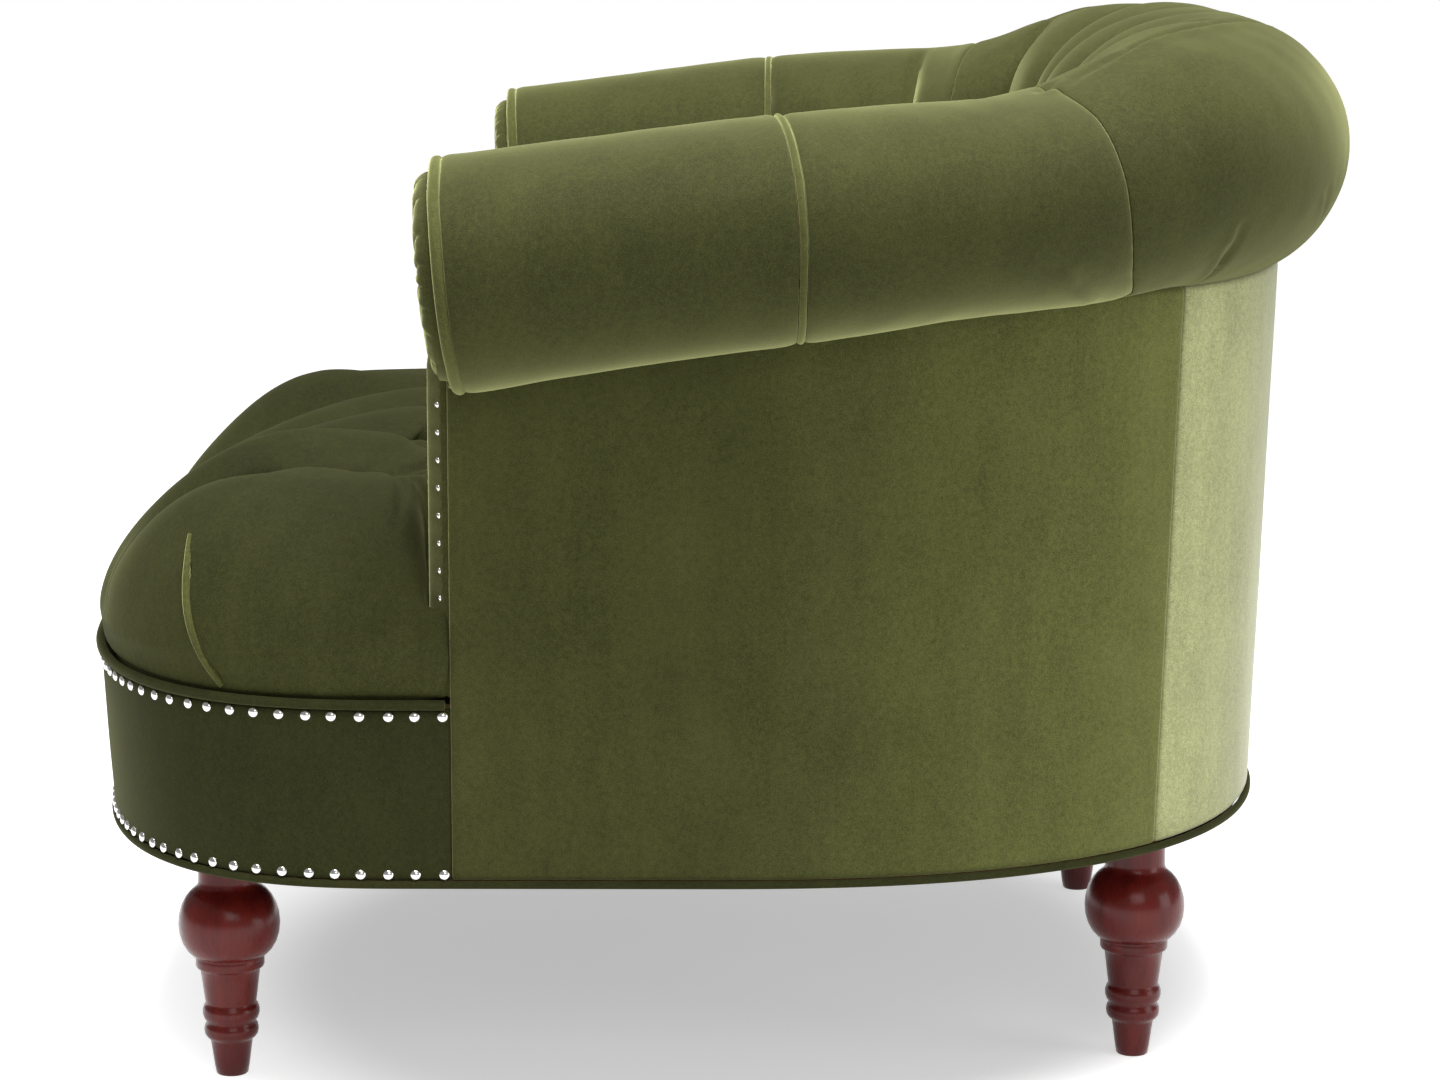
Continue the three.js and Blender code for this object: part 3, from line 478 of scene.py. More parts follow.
@dataclass(frozen=True)
class Tufting:
    """How deep and how sharp a tufted face is drawn in."""

    roundness: float = 0.44
    crease_share: float = 0.2
    crease_width: float = 0.075
    button_share: float = 0.42
    button_width: float = 0.05

    def sink(self, column: np.ndarray, row: np.ndarray) -> np.ndarray:
        """How far the face is drawn in.

        Args:
            column: Place across, in tufts.
            row: Place along, in rows.

        Returns:
            The depth, as a share of the depth of a fold.
        """
        one, other = lattice(column, row)
        puff = 1.0 - (one * other) ** self.roundness
        crease = np.maximum(np.exp(-one / self.crease_width), np.exp(-other / self.crease_width))
        button = np.exp(-(one**2 + other**2) / self.button_width) * ease(row, -0.35, 0.0)
        return puff + self.crease_share * crease + self.button_share * button


class Sewing:
    """Makes velvet pieces from Blender's own primitives."""

    @staticmethod
    def clear() -> None:
        """Takes the selection off everything."""
        if bpy.context.object and bpy.context.object.mode != "OBJECT":
            bpy.ops.object.mode_set(mode="OBJECT")
        bpy.ops.object.select_all(action="DESELECT")

    @classmethod
    def pick(cls, piece: bpy.types.Object) -> None:
        """Makes a piece the only selected one.

        Args:
            piece: The piece.
        """
        cls.clear()
        piece.select_set(True)
        bpy.context.view_layer.objects.active = piece

    @classmethod
    def grid(cls, name: str, points: np.ndarray) -> bpy.types.Object:
        """Sheet whose corners are moved to given places.

        Args:
            name: Name of the piece.
            points: Rows of places, in millimetres.

        Returns:
            The sheet.
        """
        rows, columns = points.shape[:2]
        cls.clear()
        bpy.ops.mesh.primitive_grid_add(x_subdivisions=columns - 1, y_subdivisions=rows - 1, size=1)
        piece = bpy.context.object
        piece.name = piece.data.name = name
        cls.move(piece, points)
        return piece

    @classmethod
    def cover(cls, node: str, points: np.ndarray, finish: bpy.types.Material) -> bpy.types.Object:
        """Sealed velvet piece that stands for a CAD node.

        Args:
            node: Name of the node.
            points: Rows of places, in millimetres.
            finish: Its material.

        Returns:
            The piece.
        """
        piece = cls.grid(f"{node}_velvet", points)
        cls.seal(piece)
        return cls.dress(piece, Slot.VELVET, finish, [node])

    @classmethod
    def join(cls, pieces: Sequence[bpy.types.Object], name: str) -> bpy.types.Object:
        """Joins pieces into one smooth piece.

        Args:
            pieces: The pieces.
            name: Name of the result.

        Returns:
            The result.
        """
        cls.pick(pieces[0])
        for piece in pieces:
            piece.select_set(True)
        if len(pieces) > 1:
            bpy.ops.object.join()
        joined = bpy.context.object
        joined.name = joined.data.name = name
        bpy.ops.object.shade_smooth()
        return joined

    @classmethod
    def seal(cls, piece: bpy.types.Object, apart: float = 0.02) -> None:
        """Merges what lies together, fills the open ends and turns the faces out.

        Args:
            piece: The piece.
            apart: Corners nearer than this are one, in millimetres.
        """
        cls.pick(piece)
        bpy.ops.object.mode_set(mode="EDIT")
        bpy.ops.mesh.select_mode(type="VERT")
        bpy.ops.mesh.select_all(action="SELECT")
        bpy.ops.mesh.remove_doubles(threshold=apart * MM)
        bpy.ops.mesh.select_all(action="DESELECT")
        bpy.ops.mesh.select_non_manifold(extend=False, use_wire=False, use_boundary=True,
                                         use_multi_face=False, use_non_contiguous=False, use_verts=False)
        bpy.ops.mesh.fill_holes(sides=0)
        bpy.ops.mesh.select_all(action="SELECT")
        bpy.ops.mesh.normals_make_consistent(inside=False)
        bpy.ops.object.mode_set(mode="OBJECT")
        bpy.ops.object.shade_smooth_by_angle(angle=math.radians(50))

    @classmethod
    def apply(cls, piece: bpy.types.Object, kind: str, **settings) -> None:
        """Adds a modifier and applies it.

        Args:
            piece: The piece.
            kind: Kind of modifier.
            **settings: Its settings.
        """
        cls.pick(piece)
        modifier = piece.modifiers.new(kind.lower(), kind)
        for key, value in settings.items():
            setattr(modifier, key, value)
        bpy.ops.object.modifier_apply(modifier=modifier.name)

    @classmethod
    def tube(cls, name: str, path: np.ndarray, radius: float, sides: int = 14,
             closed: bool = False, thick: np.ndarray | None = None) -> bpy.types.Object:
        """Round cord along a path.

        Args:
            name: Name of the piece.
            path: Places along its middle, in millimetres.
            radius: Its radius.
            sides: Count of its sides.
            closed: Whether it runs in a ring.
            thick: Its thickness at each place, as a share of the radius.

        Returns:
            The cord.
        """
        widths = radius * (np.ones(len(path)) if thick is None else thick)
        if closed:
            way = np.roll(path, -1, axis=0) - np.roll(path, 1, axis=0)
        else:
            way = np.gradient(path, axis=0)
        way /= np.linalg.norm(way, axis=1, keepdims=True)
        side = np.cross(way[0], [0.31, 0.17, 0.93])
        rings = []
        for spot, along, width in zip(path, way, widths):
            side = side - along * (side @ along)
            side /= np.linalg.norm(side)
            other = np.cross(along, side)
            angle = np.linspace(0.0, 2 * math.pi, sides + 1)[:, None]
            rings.append(spot + width * (np.cos(angle) * side + np.sin(angle) * other))
        if closed:
            rings.append(rings[0])
        piece = cls.grid(name, np.array(rings))
        cls.seal(piece, 0.05)
        return piece

    @staticmethod
    def spots(piece: bpy.types.Object) -> np.ndarray:
        """Places of a piece's corners.

        Args:
            piece: The piece.

        Returns:
            X, Y and Z of each, in millimetres.
        """
        flat = np.empty(len(piece.data.vertices) * 3, dtype=np.float32)
        piece.data.vertices.foreach_get("co", flat)
        return flat.reshape(-1, 3).astype(float) / MM

    @staticmethod
    def normals(piece: bpy.types.Object) -> np.ndarray:
        """Normals at a piece's corners.

        Args:
            piece: The piece.

        Returns:
            A unit vector for each.
        """
        flat = np.empty(len(piece.data.vertices) * 3, dtype=np.float32)
        piece.data.vertex_normals.foreach_get("vector", flat)
        return flat.reshape(-1, 3).astype(float)

    @staticmethod
    def move(piece: bpy.types.Object, points: np.ndarray) -> None:
        """Moves the corners of a piece.

        Args:
            piece: The piece.
            points: New places, in millimetres.
        """
        piece.data.vertices.foreach_set("co", (points * MM).astype(np.float32).ravel())
        piece.data.update()

    @staticmethod
    def dress(piece: bpy.types.Object, slot: Slot, finish: bpy.types.Material,
              replaced: Iterable[str] = ()) -> bpy.types.Object:
        """Gives a piece its body and finish, and hides the CAD nodes that it stands for.

        Args:
            piece: The piece.
            slot: Slot of the record; not used.
            finish: Its material.
            replaced: Names of the CAD nodes.

        Returns:
            The piece.
        """
        piece.data.materials.clear()
        piece.data.materials.append(finish)
        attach(piece, BODY)
        if replaced:
            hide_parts(*replaced)
        log.info("%s: %d faces", piece.name, len(piece.data.polygons))
        return piece


@dataclass
class StuffedPads:
    """Stuffed pads over the arms and back, plain at the front and tufted behind."""

    finish: bpy.types.Material
    back_finish: bpy.types.Material
    step: float = 4.0
    outline_points: int = 230
    hollow_steps: int = 16
    seam_pull: float = 1.9
    slant_reach: float = 150.0
    seam_reach: float = 9.0
    seam_gap: float = 0.3
    welt_room: float = 2.7
    front_room: float = 8.4
    first_row: Pair = (118.0, 160.0)
    row_pitch: Pair = (95.0, 112.0)
    fold_reach: Pair = (10.0, 22.0)
    fold_depth: Pair = (11.0, 20.0)
    fold_full: float = 70.0
    sway: float = 0.035
    button_sunk: float = 3.0
    back_room: float = 3.0
    button_back: float = 6.0
    edge_shares: tuple[float, ...] = (0.0, 0.02, 0.08, 0.2, 0.4, 0.7)
    waves: tuple[Pair, Pair] = ((0.5, 150.0), (0.22, 47.0))
    wave_starts: Pair = (14.0, 8.0)
    tufting: Tufting = field(default_factory=Tufting)
    crease_radius: float = 95.0
    creases: tuple[tuple[tuple[Pair, ...], float, float], ...] = (
        (((418.0, 78.0), (440.0, 86.0), (507.0, 91.0), (611.0, 81.0), (692.0, 69.0), (712.0, 48.0)),
         5.5, 5.5),
        (((396.0, 80.0), (409.0, 84.0), (421.0, 92.0)), 3.5, 4.0),
        (((378.0, -30.0), (396.0, -76.0)), 2.4, 3.6),
        (((499.0, -22.0), (506.0, -50.0)), 2.6, 4.0),
        (((493.0, -34.0), (518.0, -72.0)), 3.0, 4.5),
        (((604.0, -12.0), (642.0, -31.0)), 2.6, 4.0))

    def outline(self, distance: np.ndarray) -> tuple[np.ndarray, np.ndarray, RollCut]:
        """Outer outline of a pad, in even steps.

        Args:
            distance: Distances along the shell.

        Returns:
            Outward place and height of each point, its distance from the crest,
            and the roll's sizes.
        """
        cut = ROLL.cut(distance)
        start = ROLL.under_angle(cut, -COVER - PAD_GAP, 0.0)
        arc = ROLL.arc(cut, start, math.pi, 160, 0.0)
        share = np.linspace(0.0, 1.0, 91)[1:]
        side = (cut.out - cut.across)[:, None]
        out = mix(side, cut.inside[:, None], ease(share, 0.0, 1.0))
        z = mix(cut.z[:, None], INSIDE_LOW_Z, share)
        face = np.stack([out, z], axis=-1)
        foot_z = np.linspace(INSIDE_LOW_Z, PAD_FOOT_Z, 31)[1:]
        foot = np.stack(np.broadcast_arrays(cut.inside[:, None], foot_z[None, :]), axis=-1)
        line = np.concatenate([arc, face, foot], axis=1)
        even = np.empty((len(distance), self.outline_points, 2))
        from_crest = np.empty((len(distance), self.outline_points))
        for k, row in enumerate(line):
            walked = walk(row)
            spots = np.linspace(0.0, walked[-1], self.outline_points)
            even[k, :, 0] = np.interp(spots, walked, row[:, 0])
            even[k, :, 1] = np.interp(spots, walked, row[:, 1])
            from_crest[k] = spots - walked[np.argmax(row[:, 1])]
        return even, from_crest, cut

    def lattice_place(self, distance: np.ndarray, from_crest: np.ndarray,
                      cut: RollCut) -> tuple[np.ndarray, np.ndarray]:
        """Where a point lies in the pattern of tufts.

        Args:
            distance: Distances along the shell.
            from_crest: Distance inward from the crest at each point.
            cut: The roll's sizes.

        Returns:
            Column and row of each point.
        """
        column = (distance - ROLL.mid_seam) / ROLL.pitch
        first = mix(*self.first_row, cut.share)[:, None]
        pitch = mix(*self.row_pitch, cut.share)[:, None]
        row = np.clip((from_crest - first) / pitch, 0.0, 1.0)
        return np.broadcast_to(column[:, None], row.shape), row

    def folds(self, distance: np.ndarray, from_crest: np.ndarray, cut: RollCut) -> np.ndarray:
        """Depth to which the tufts draw in the pad.

        Args:
            distance: Distances along the shell.
            from_crest: Distance inward from the crest at each point.
            cut: The roll's sizes.

        Returns:
            The depth at each point.
        """
        column, row = self.lattice_place(distance, from_crest, cut)
        reach = mix(*self.fold_reach, cut.share)[:, None]
        depth = mix(*self.fold_depth, cut.share)[:, None] * ease(from_crest, -reach, self.fold_full)
        sway = self.sway * np.sin(from_crest / 31.0 + 2.6 * column)
        fade = ease(from_crest, 40.0, -60.0)
        return depth * self.tufting.sink(column + sway * fade, row)

    def drags(self, distance: np.ndarray, angle: np.ndarray) -> np.ndarray:
        """Depth of the creases that the corners pull along the roll.

        Args:
            distance: Distances along the shell.
            angle: Angle round the section of each point, in degrees.

        Returns:
            The depth at each point, negative beside a crease, where the cloth stands up.
        """
        along = np.minimum(distance, SHELL.length - distance)[:, None]
        across = np.radians(angle) * self.crease_radius
        depth = np.zeros_like(angle)
        for knots, deep, width in self.creases:
            line = np.array(knots) * [1.0, math.radians(1.0) * self.crease_radius]
            walked = walk(line)
            best = np.full_like(angle, 1e9)
            signed, place = np.zeros_like(angle), np.zeros_like(angle)
            for k in range(len(line) - 1):
                way = (line[k + 1] - line[k]) / (walked[k + 1] - walked[k])
                off_s, off_a = along - line[k, 0], across - line[k, 1]
                run = np.clip(off_s * way[0] + off_a * way[1], 0.0, walked[k + 1] - walked[k])
                gap = np.hypot(off_s - run * way[0], off_a - run * way[1])
                turn = np.sign(off_a * way[0] - off_s * way[1])
                near = gap < best
                best = np.where(near, gap, best)
                signed = np.where(near, gap * turn, signed)
                place = np.where(near, (walked[k] + run) / walked[-1], place)
            live = np.sin(np.pi * np.clip(place, 0.0, 1.0)) ** 0.6
            depth += deep * live * (bump(signed, 0.0, width) - 0.4 * bump(signed, -1.9 * width, 1.4 * width))
        return depth

    def surface(self, distance: np.ndarray, tufted: bool) -> tuple[np.ndarray, np.ndarray]:
        """Outer surface of a pad, and how deep each point is drawn in.

        Args:
            distance: Distances along the shell.
            tufted: Whether it has tufts.

        Returns:
            Rows of places in the section, and the depth of each.
        """
        even, from_crest, cut = self.outline(distance)
        sink = self.folds(distance, from_crest, cut) if tufted else np.zeros_like(from_crest)
        ends = np.minimum(distance - distance[0], distance[-1] - distance)[:, None]
        held = 1.0 - ends / self.seam_reach
        pulled = self.seam_pull * (1.0 - np.sqrt(np.clip(1.0 - held**2, 0.0, 1.0)))
        pulled = np.where(ends >= self.seam_reach, 0.0, pulled)
        way = np.gradient(even, axis=1)
        normal = np.stack([-way[..., 1], way[..., 0]], axis=-1)
        normal /= np.linalg.norm(normal, axis=-1, keepdims=True)
        if tufted:
            sink = sink + self.drags(distance, section_angle(cut, even[..., 0], even[..., 1]))
        total = sink + pulled
        moved = even + normal * total[..., None]
        below = (even[..., 1] < cut.z[:, None]) & (from_crest > 0)
        moved[..., 0] = np.where(below, np.minimum(moved[..., 0], PAD_BACK - self.back_room), moved[..., 0])
        return moved, sink

    def hollow(self, distance: np.ndarray) -> np.ndarray:
        """Inner side of a pad, where the frame fills it.

        Args:
            distance: Distances along the shell.

        Returns:
            Rows of places in the section.
        """
        cut = ROLL.cut(distance)
        start = math.pi + cut.share * ROLL.hollow_turn
        end = ROLL.under_angle(cut, -COVER - PAD_GAP, cut.pad)
        arc = ROLL.arc(cut, start, end, self.hollow_steps, cut.pad)
        back = np.full_like(cut.z, PAD_BACK)
        foot = np.stack([back, np.full_like(back, PAD_FOOT_Z)], axis=-1)[:, None]
        meet = np.stack([back, cut.meet_z], axis=-1)[:, None]
        return np.concatenate([foot, meet, arc], axis=1)

    def pad(self, name: str, start: float, end: float, slants: tuple[Slant, Slant], tufted: bool,
            seed: int) -> bpy.types.Object:
        """One pad of the arms or back.

        Args:
            name: Name of the CAD node that it stands for.
            start: Distance along the shell where it starts.
            end: Distance where it ends.
            slants: Slants of its two seams, nearest the sitter's left arm first.
            tufted: Whether it has tufts.
            seed: Which unevenness it has.

        Returns:
            The pad.
        """
        inner = np.linspace(start, end, max(int((end - start) / self.step), 8) + 1)
        edges = self.seam_reach * np.array(self.edge_shares)
        inner = inner[(inner > start + self.seam_reach) & (inner < end - self.seam_reach)]
        distance = np.concatenate([start + edges, inner, end - edges[::-1]])
        surface, sink = self.surface(distance, tufted)
        section = np.concatenate([surface, self.hollow(distance)], axis=1)
        section = np.concatenate([section, section[:, :1]], axis=1)
        angle = section_angle(ROLL.cut(distance), section[..., 0], section[..., 1])
        reach = min(self.slant_reach, (end - start) / 2)
        first = slants[0].at(angle) * ease(distance, start + reach, start)[:, None]
        last = slants[1].at(angle) * ease(distance, end - reach, end)[:, None]
        turn = np.where(np.array([start, end]) > SHELL.half, -1.0, 1.0)
        strayed = distance[:, None] + turn[0] * first + turn[1] * last
        points = SHELL.place(strayed, section[..., 0], section[..., 1])
        outer = surface.shape[1]
        (large, long), (small, short) = self.waves
        wave = large * ripple(points[:, :outer], long, seed)
        wave = wave + small * ripple(points[:, :outer], short, seed + 50)
        ends = np.minimum(distance - start, end - distance)[:, None]
        wave *= ease(ends, 0.0, self.wave_starts[0]) * ease(np.arange(outer), 0.0, self.wave_starts[1])
        centre = SHELL.place(distance, ROLL.cut(distance).out, ROLL.cut(distance).z)[:, None]
        way = points[:, :outer] - centre
        points[:, :outer] += way / np.linalg.norm(way, axis=-1, keepdims=True) * wave[..., None]
        points[:, -1] = points[:, 0]
        piece = Sewing.cover(name, points, self.finish)
        return piece

    def button_places(self) -> list[tuple[np.ndarray, np.ndarray]]:
        """Places and outward ways of the buttons in the arms and back.

        Returns:
            A place and a unit vector for each button.
        """
        found = []
        for row in (0.0, 1.0):
            offset = row / 2
            columns = np.arange(1.0 - offset, ROLL.tufts_per_side + 0.01)
            near = ROLL.mid_seam + columns * ROLL.pitch
            near = near[near <= SHELL.half + 0.01]
            far = SHELL.length - near[near < SHELL.half - 1.0]
            for spot in np.concatenate([near, far]):
                line = np.array([spot - 2.0, spot, spot + 2.0])
                even, from_crest, cut = self.outline(line)
                depth = self.folds(line, from_crest, cut)
                wanted = mix(*self.first_row, cut.share[1]) + row * mix(*self.row_pitch, cut.share[1])
                k = int(np.argmin(np.abs(from_crest[1] - wanted)))
                way = even[1, k + 1] - even[1, k - 1]
                normal = np.array([-way[1], way[0]]) / np.linalg.norm(way)
                sunk = even[1, k] + normal * (depth[1, k] - self.button_sunk)
                sunk[0] = min(sunk[0], PAD_BACK - self.button_back)
                base = SHELL.place(spot, sunk[0], sunk[1])
                tip = SHELL.place(spot, sunk[0] - normal[0] * 10.0, sunk[1] - normal[1] * 10.0)
                found.append((base, (tip - base) / np.linalg.norm(tip - base)))
        return found

    def build(self) -> list[bpy.types.Object]:
        """Builds all pads.

        Returns:
            The pads.
        """
        room, gap = self.welt_room, self.seam_gap
        made = []
        for side in SIDES:
            spans = [
                ("arm_front_pad", self.front_room, ROLL.mid_seam - room, (FRONT_SLANT, MID_SLANT), False),
                ("arm_rear_pad", ROLL.mid_seam + room, ROLL.corner_seam - gap,
                 (MID_SLANT, CORNER_SLANT), True)]
            for k, (name, start, end, slants, tufted) in enumerate(spans):
                seed = 10 * k + (1 if side == "left" else 2)
                if side == "right":
                    start, end, slants = SHELL.length - end, SHELL.length - start, slants[::-1]
                made.append(self.pad(f"{side}_{name}", start, end, slants, tufted, seed))
        start = ROLL.corner_seam + gap
        back = self.pad("back_pad", start, SHELL.length - start, (CORNER_SLANT, CORNER_SLANT), True, 30)
        back.data.materials[0] = self.back_finish
        return made + [back]


@dataclass
class Buttons:
    """Covered buttons in the tufts and on the arm fronts."""

    finish: bpy.types.Material
    radius: float = 11.0
    height: float = 6.5

    def one(self, place: np.ndarray, way: np.ndarray) -> bpy.types.Object:
        """One covered button.

        Args:
            place: Where its underside lies.
            way: The way that it faces.

        Returns:
            The button.
        """
        Sewing.clear()
        turn = Vector(way).to_track_quat("Z", "Y")
        bpy.ops.mesh.primitive_uv_sphere_add(segments=28, ring_count=16, radius=self.radius * MM)
        piece = bpy.context.object
        points = Sewing.spots(piece)
        flat = np.where(points[:, 2] > 0, self.height / self.radius, 0.25)
        points[:, 2] *= flat
        turned = np.array([turn @ Vector(p) for p in points]) + place
        Sewing.move(piece, turned)
        return piece

    def build(self, name: str, places: Sequence[tuple[np.ndarray, np.ndarray]],
              replaced: Iterable[str] = ()) -> bpy.types.Object:
        """A set of buttons as one piece.

        Args:
            name: Name of the piece.
            places: Place and way of each.
            replaced: CAD nodes that it stands for.

        Returns:
            The piece.
        """
        piece = Sewing.join([self.one(place, way) for place, way in places], name)
        return Sewing.dress(piece, Slot.VELVET, self.finish, replaced)


@dataclass
class Panels:
    """Outside covers of the arms and back, and the border under the seat."""

    finish: bpy.types.Material
    rear_painted_backlight_finish: bpy.types.Material
    border_painted_shade_finish: bpy.types.Material
    step: float = 6.0
    edge: float = 4.6
    roll_in: float = 0.68
    edge_steps: tuple[float, ...] = (0.0, 0.06, 0.2, 0.42, 0.7, 1.0)
    rows: int = 64
    seam_room: float = 1.0
    seam_lean: float = 13.0
    lean_reach: float = 150.0
    swell_reach: Pair = (90.0, 60.0)
    unevenness: Pair = (0.35, 210.0)
    border_pillow: float = 0.6

    def cover(self, name: str, plan: PlanLine, start: float, end: float,
              heights: Callable[[np.ndarray], tuple[np.ndarray, np.ndarray]],
              leans: Pair, pillow: float, seed: int) -> bpy.types.Object:
        """One cover, rolled in at its edges.

        Args:
            name: Name of the CAD node.
            plan: Line that it follows.
            start: Distance where it starts.
            end: Distance where it ends.
            heights: Gives its lower and upper edge at each distance.
            leans: How far the seams at its start and end stray along the line at their tops.
            pillow: How far it swells in the middle.
            seed: Which unevenness it has.

        Returns:
            The cover.
        """
        edges = self.edge * np.array(self.edge_steps)
        inner = np.linspace(start + self.edge, end - self.edge, int((end - start) / self.step))[1:-1]
        distance = np.concatenate([start + edges, inner, end - edges[::-1]])
        low, high = heights(distance)
        share = np.linspace(0.0, 1.0, self.rows)
        inner_z = low[:, None] + self.edge + (high - low - 2 * self.edge)[:, None] * share
        z = np.concatenate([low[:, None] + edges[:-1], inner_z, high[:, None] - edges[-2::-1]], axis=1)
        near_end = np.minimum(distance - start, end - distance)[:, None]
        near_edge = np.minimum(z - low[:, None], high[:, None] - z)
        out = np.zeros_like(z)
        for near in (near_end, near_edge):
            held = np.clip(1.0 - near / self.edge, 0.0, 1.0)
            out = out - self.edge * self.roll_in * (1.0 - np.sqrt(1.0 - held**2 * 0.98))
        swell = ease(near_end, 0.0, self.swell_reach[0]) * ease(near_edge, 0.0, self.swell_reach[1])
        rise = (z - BASE_Z) / (plan.lean_to_z - BASE_Z)
        first = leans[0] * ease(distance, start + self.lean_reach, start)[:, None] * rise
        last = leans[1] * ease(distance, end - self.lean_reach, end)[:, None] * rise
        along = distance[:, None] + first + last
        points = plan.place(along, 0.0, z)
        size, length = self.unevenness
        out = out + pillow * swell + size * swell * ripple(points, length, seed)
        front = plan.place(along, out, z)
        back = plan.place(along, -COVER, z)
        ring = np.concatenate([front, back[:, ::-1], front[:, :1]], axis=1)
        return Sewing.cover(name, ring, self.finish)

    @staticmethod
    def under_roll(distance: np.ndarray) -> tuple[np.ndarray, np.ndarray]:
        """Edges of a cover that ends under the roll.

        Args:
            distance: Distances along the shell.

        Returns:
            Lower and upper edge at each.
        """
        cut = ROLL.cut(distance)
        angle = ROLL.under_angle(cut, 0.0, 0.0)
        high = cut.z + cut.up * np.sin(angle) - PAD_GAP
        return np.full_like(high, BASE_SEAM_Z), high

    @staticmethod
    def under_seat(distance: np.ndarray) -> tuple[np.ndarray, np.ndarray]:
        """Edges of the border under the seat.

        Args:
            distance: Distances along the bow.

        Returns:
            Lower and upper edge at each.
        """
        return np.full_like(distance, BASE_SEAM_Z), np.full_like(distance, SEAT_SEAM_Z)

    def build(self) -> None:
        """Builds the covers."""
        seam, room, lean, end = ROLL.back_seam, self.seam_room, self.seam_lean, SHELL.length
        high = self.under_roll
        self.cover("left_outside_arm", SHELL, 0.0, seam - room, high, (0.0, lean), 0.0, 41)
        self.cover("right_outside_arm", SHELL, end - seam + room, end, high, (-lean, 0.0), 0.0, 42)
        back = self.cover("outside_back", SHELL, seam + room, end - seam - room, high, (lean, -lean), 0.0, 43)
        # Painted backlight: the outside back takes the much lighter copy of the velvet.
        back.data.materials[0] = self.rear_painted_backlight_finish
        border = self.cover("front_border", BOW, 0.0, BOW.length, self.under_seat, (0.0, 0.0),
                            self.border_pillow, 44)
        # Painted shade: the border takes the darker copy of the velvet.
        border.data.materials[0] = self.border_painted_shade_finish


@dataclass
class Welts:
    """Piped seams: round the base, under the seat and over the arm roll."""

    finish: bpy.types.Material
    low_painted_shade_finish: bpy.types.Material
    front_radius: float = 4.0
    front_inset: float = 4.3
    mid_radius: float = 2.5
    seat_radius: float = 3.5
    base_radius: float = 2.75

    def over_arm(self, name: str, side: float, distance: float, radius: float,
                 slant: Slant) -> bpy.types.Object:
        """Welt that runs over the arm roll and down its inner side.

        Args:
            name: Name of the CAD node.
            side: 1 for the left arm, -1 for the right arm.
            distance: Its distance along the shell.
            radius: Radius of the welt.
            slant: How it strays along the roll.

        Returns:
            The welt.
        """
        cut = ROLL.cut(np.array([max(distance, 0.0)]))
        start = ROLL.under_angle(cut, -radius, radius)
        arc = ROLL.arc(cut, start, math.pi, 90, radius)[0]
        share = np.linspace(0.0, 1.0, 41)[1:]
        side_out = cut.out[0] - cut.across[0] + radius
        out = mix(side_out, cut.inside[0] + radius, ease(share, 0.0, 1.0))
        face = np.stack([out, mix(cut.z[0], INSIDE_LOW_Z, share)], axis=-1)
        line = np.concatenate([arc, face])
        angle = section_angle(cut, line[None, :, 0], line[None, :, 1])[0]
        path = SHELL.place(distance + slant.at(angle), line[:, 0], line[:, 1])
        path[:, 0] *= side
        piece = Sewing.tube(f"{name}_velvet", path, radius)
        return Sewing.dress(piece, Slot.VELVET, self.finish, [name])

    def build(self) -> None:
        """Builds the welts."""
        for side, sign in SIDES.items():
            self.over_arm(f"{side}_arm_front_welt", sign, self.front_inset, self.front_radius, FRONT_SLANT)
            self.over_arm(f"{side}_arm_mid_welt", sign, ROLL.mid_seam, self.mid_radius, MID_SLANT)
        radius = self.seat_radius
        along = np.linspace(radius, BOW.length - radius, 260)
        seat = Sewing.tube("seat_welt_velvet", BOW.place(along, 0.0, WELT_Z), radius)
        # Painted shade: the seat and base welts take the darker copy of the velvet.
        Sewing.dress(seat, Slot.VELVET, self.low_painted_shade_finish, ["seat_welt"])
        z = BASE_Z + self.base_radius
        shell = SHELL.place(np.linspace(0.0, SHELL.length, 330), 0.0, z)
        bow = BOW.place(np.linspace(BOW.length, 0.0, 260)[1:-1], 0.0, z)
        base = Sewing.tube("base_welt_velvet", np.concatenate([shell, bow]), self.base_radius, 12, True)
        Sewing.dress(base, Slot.VELVET, self.low_painted_shade_finish, ["base_welt"])


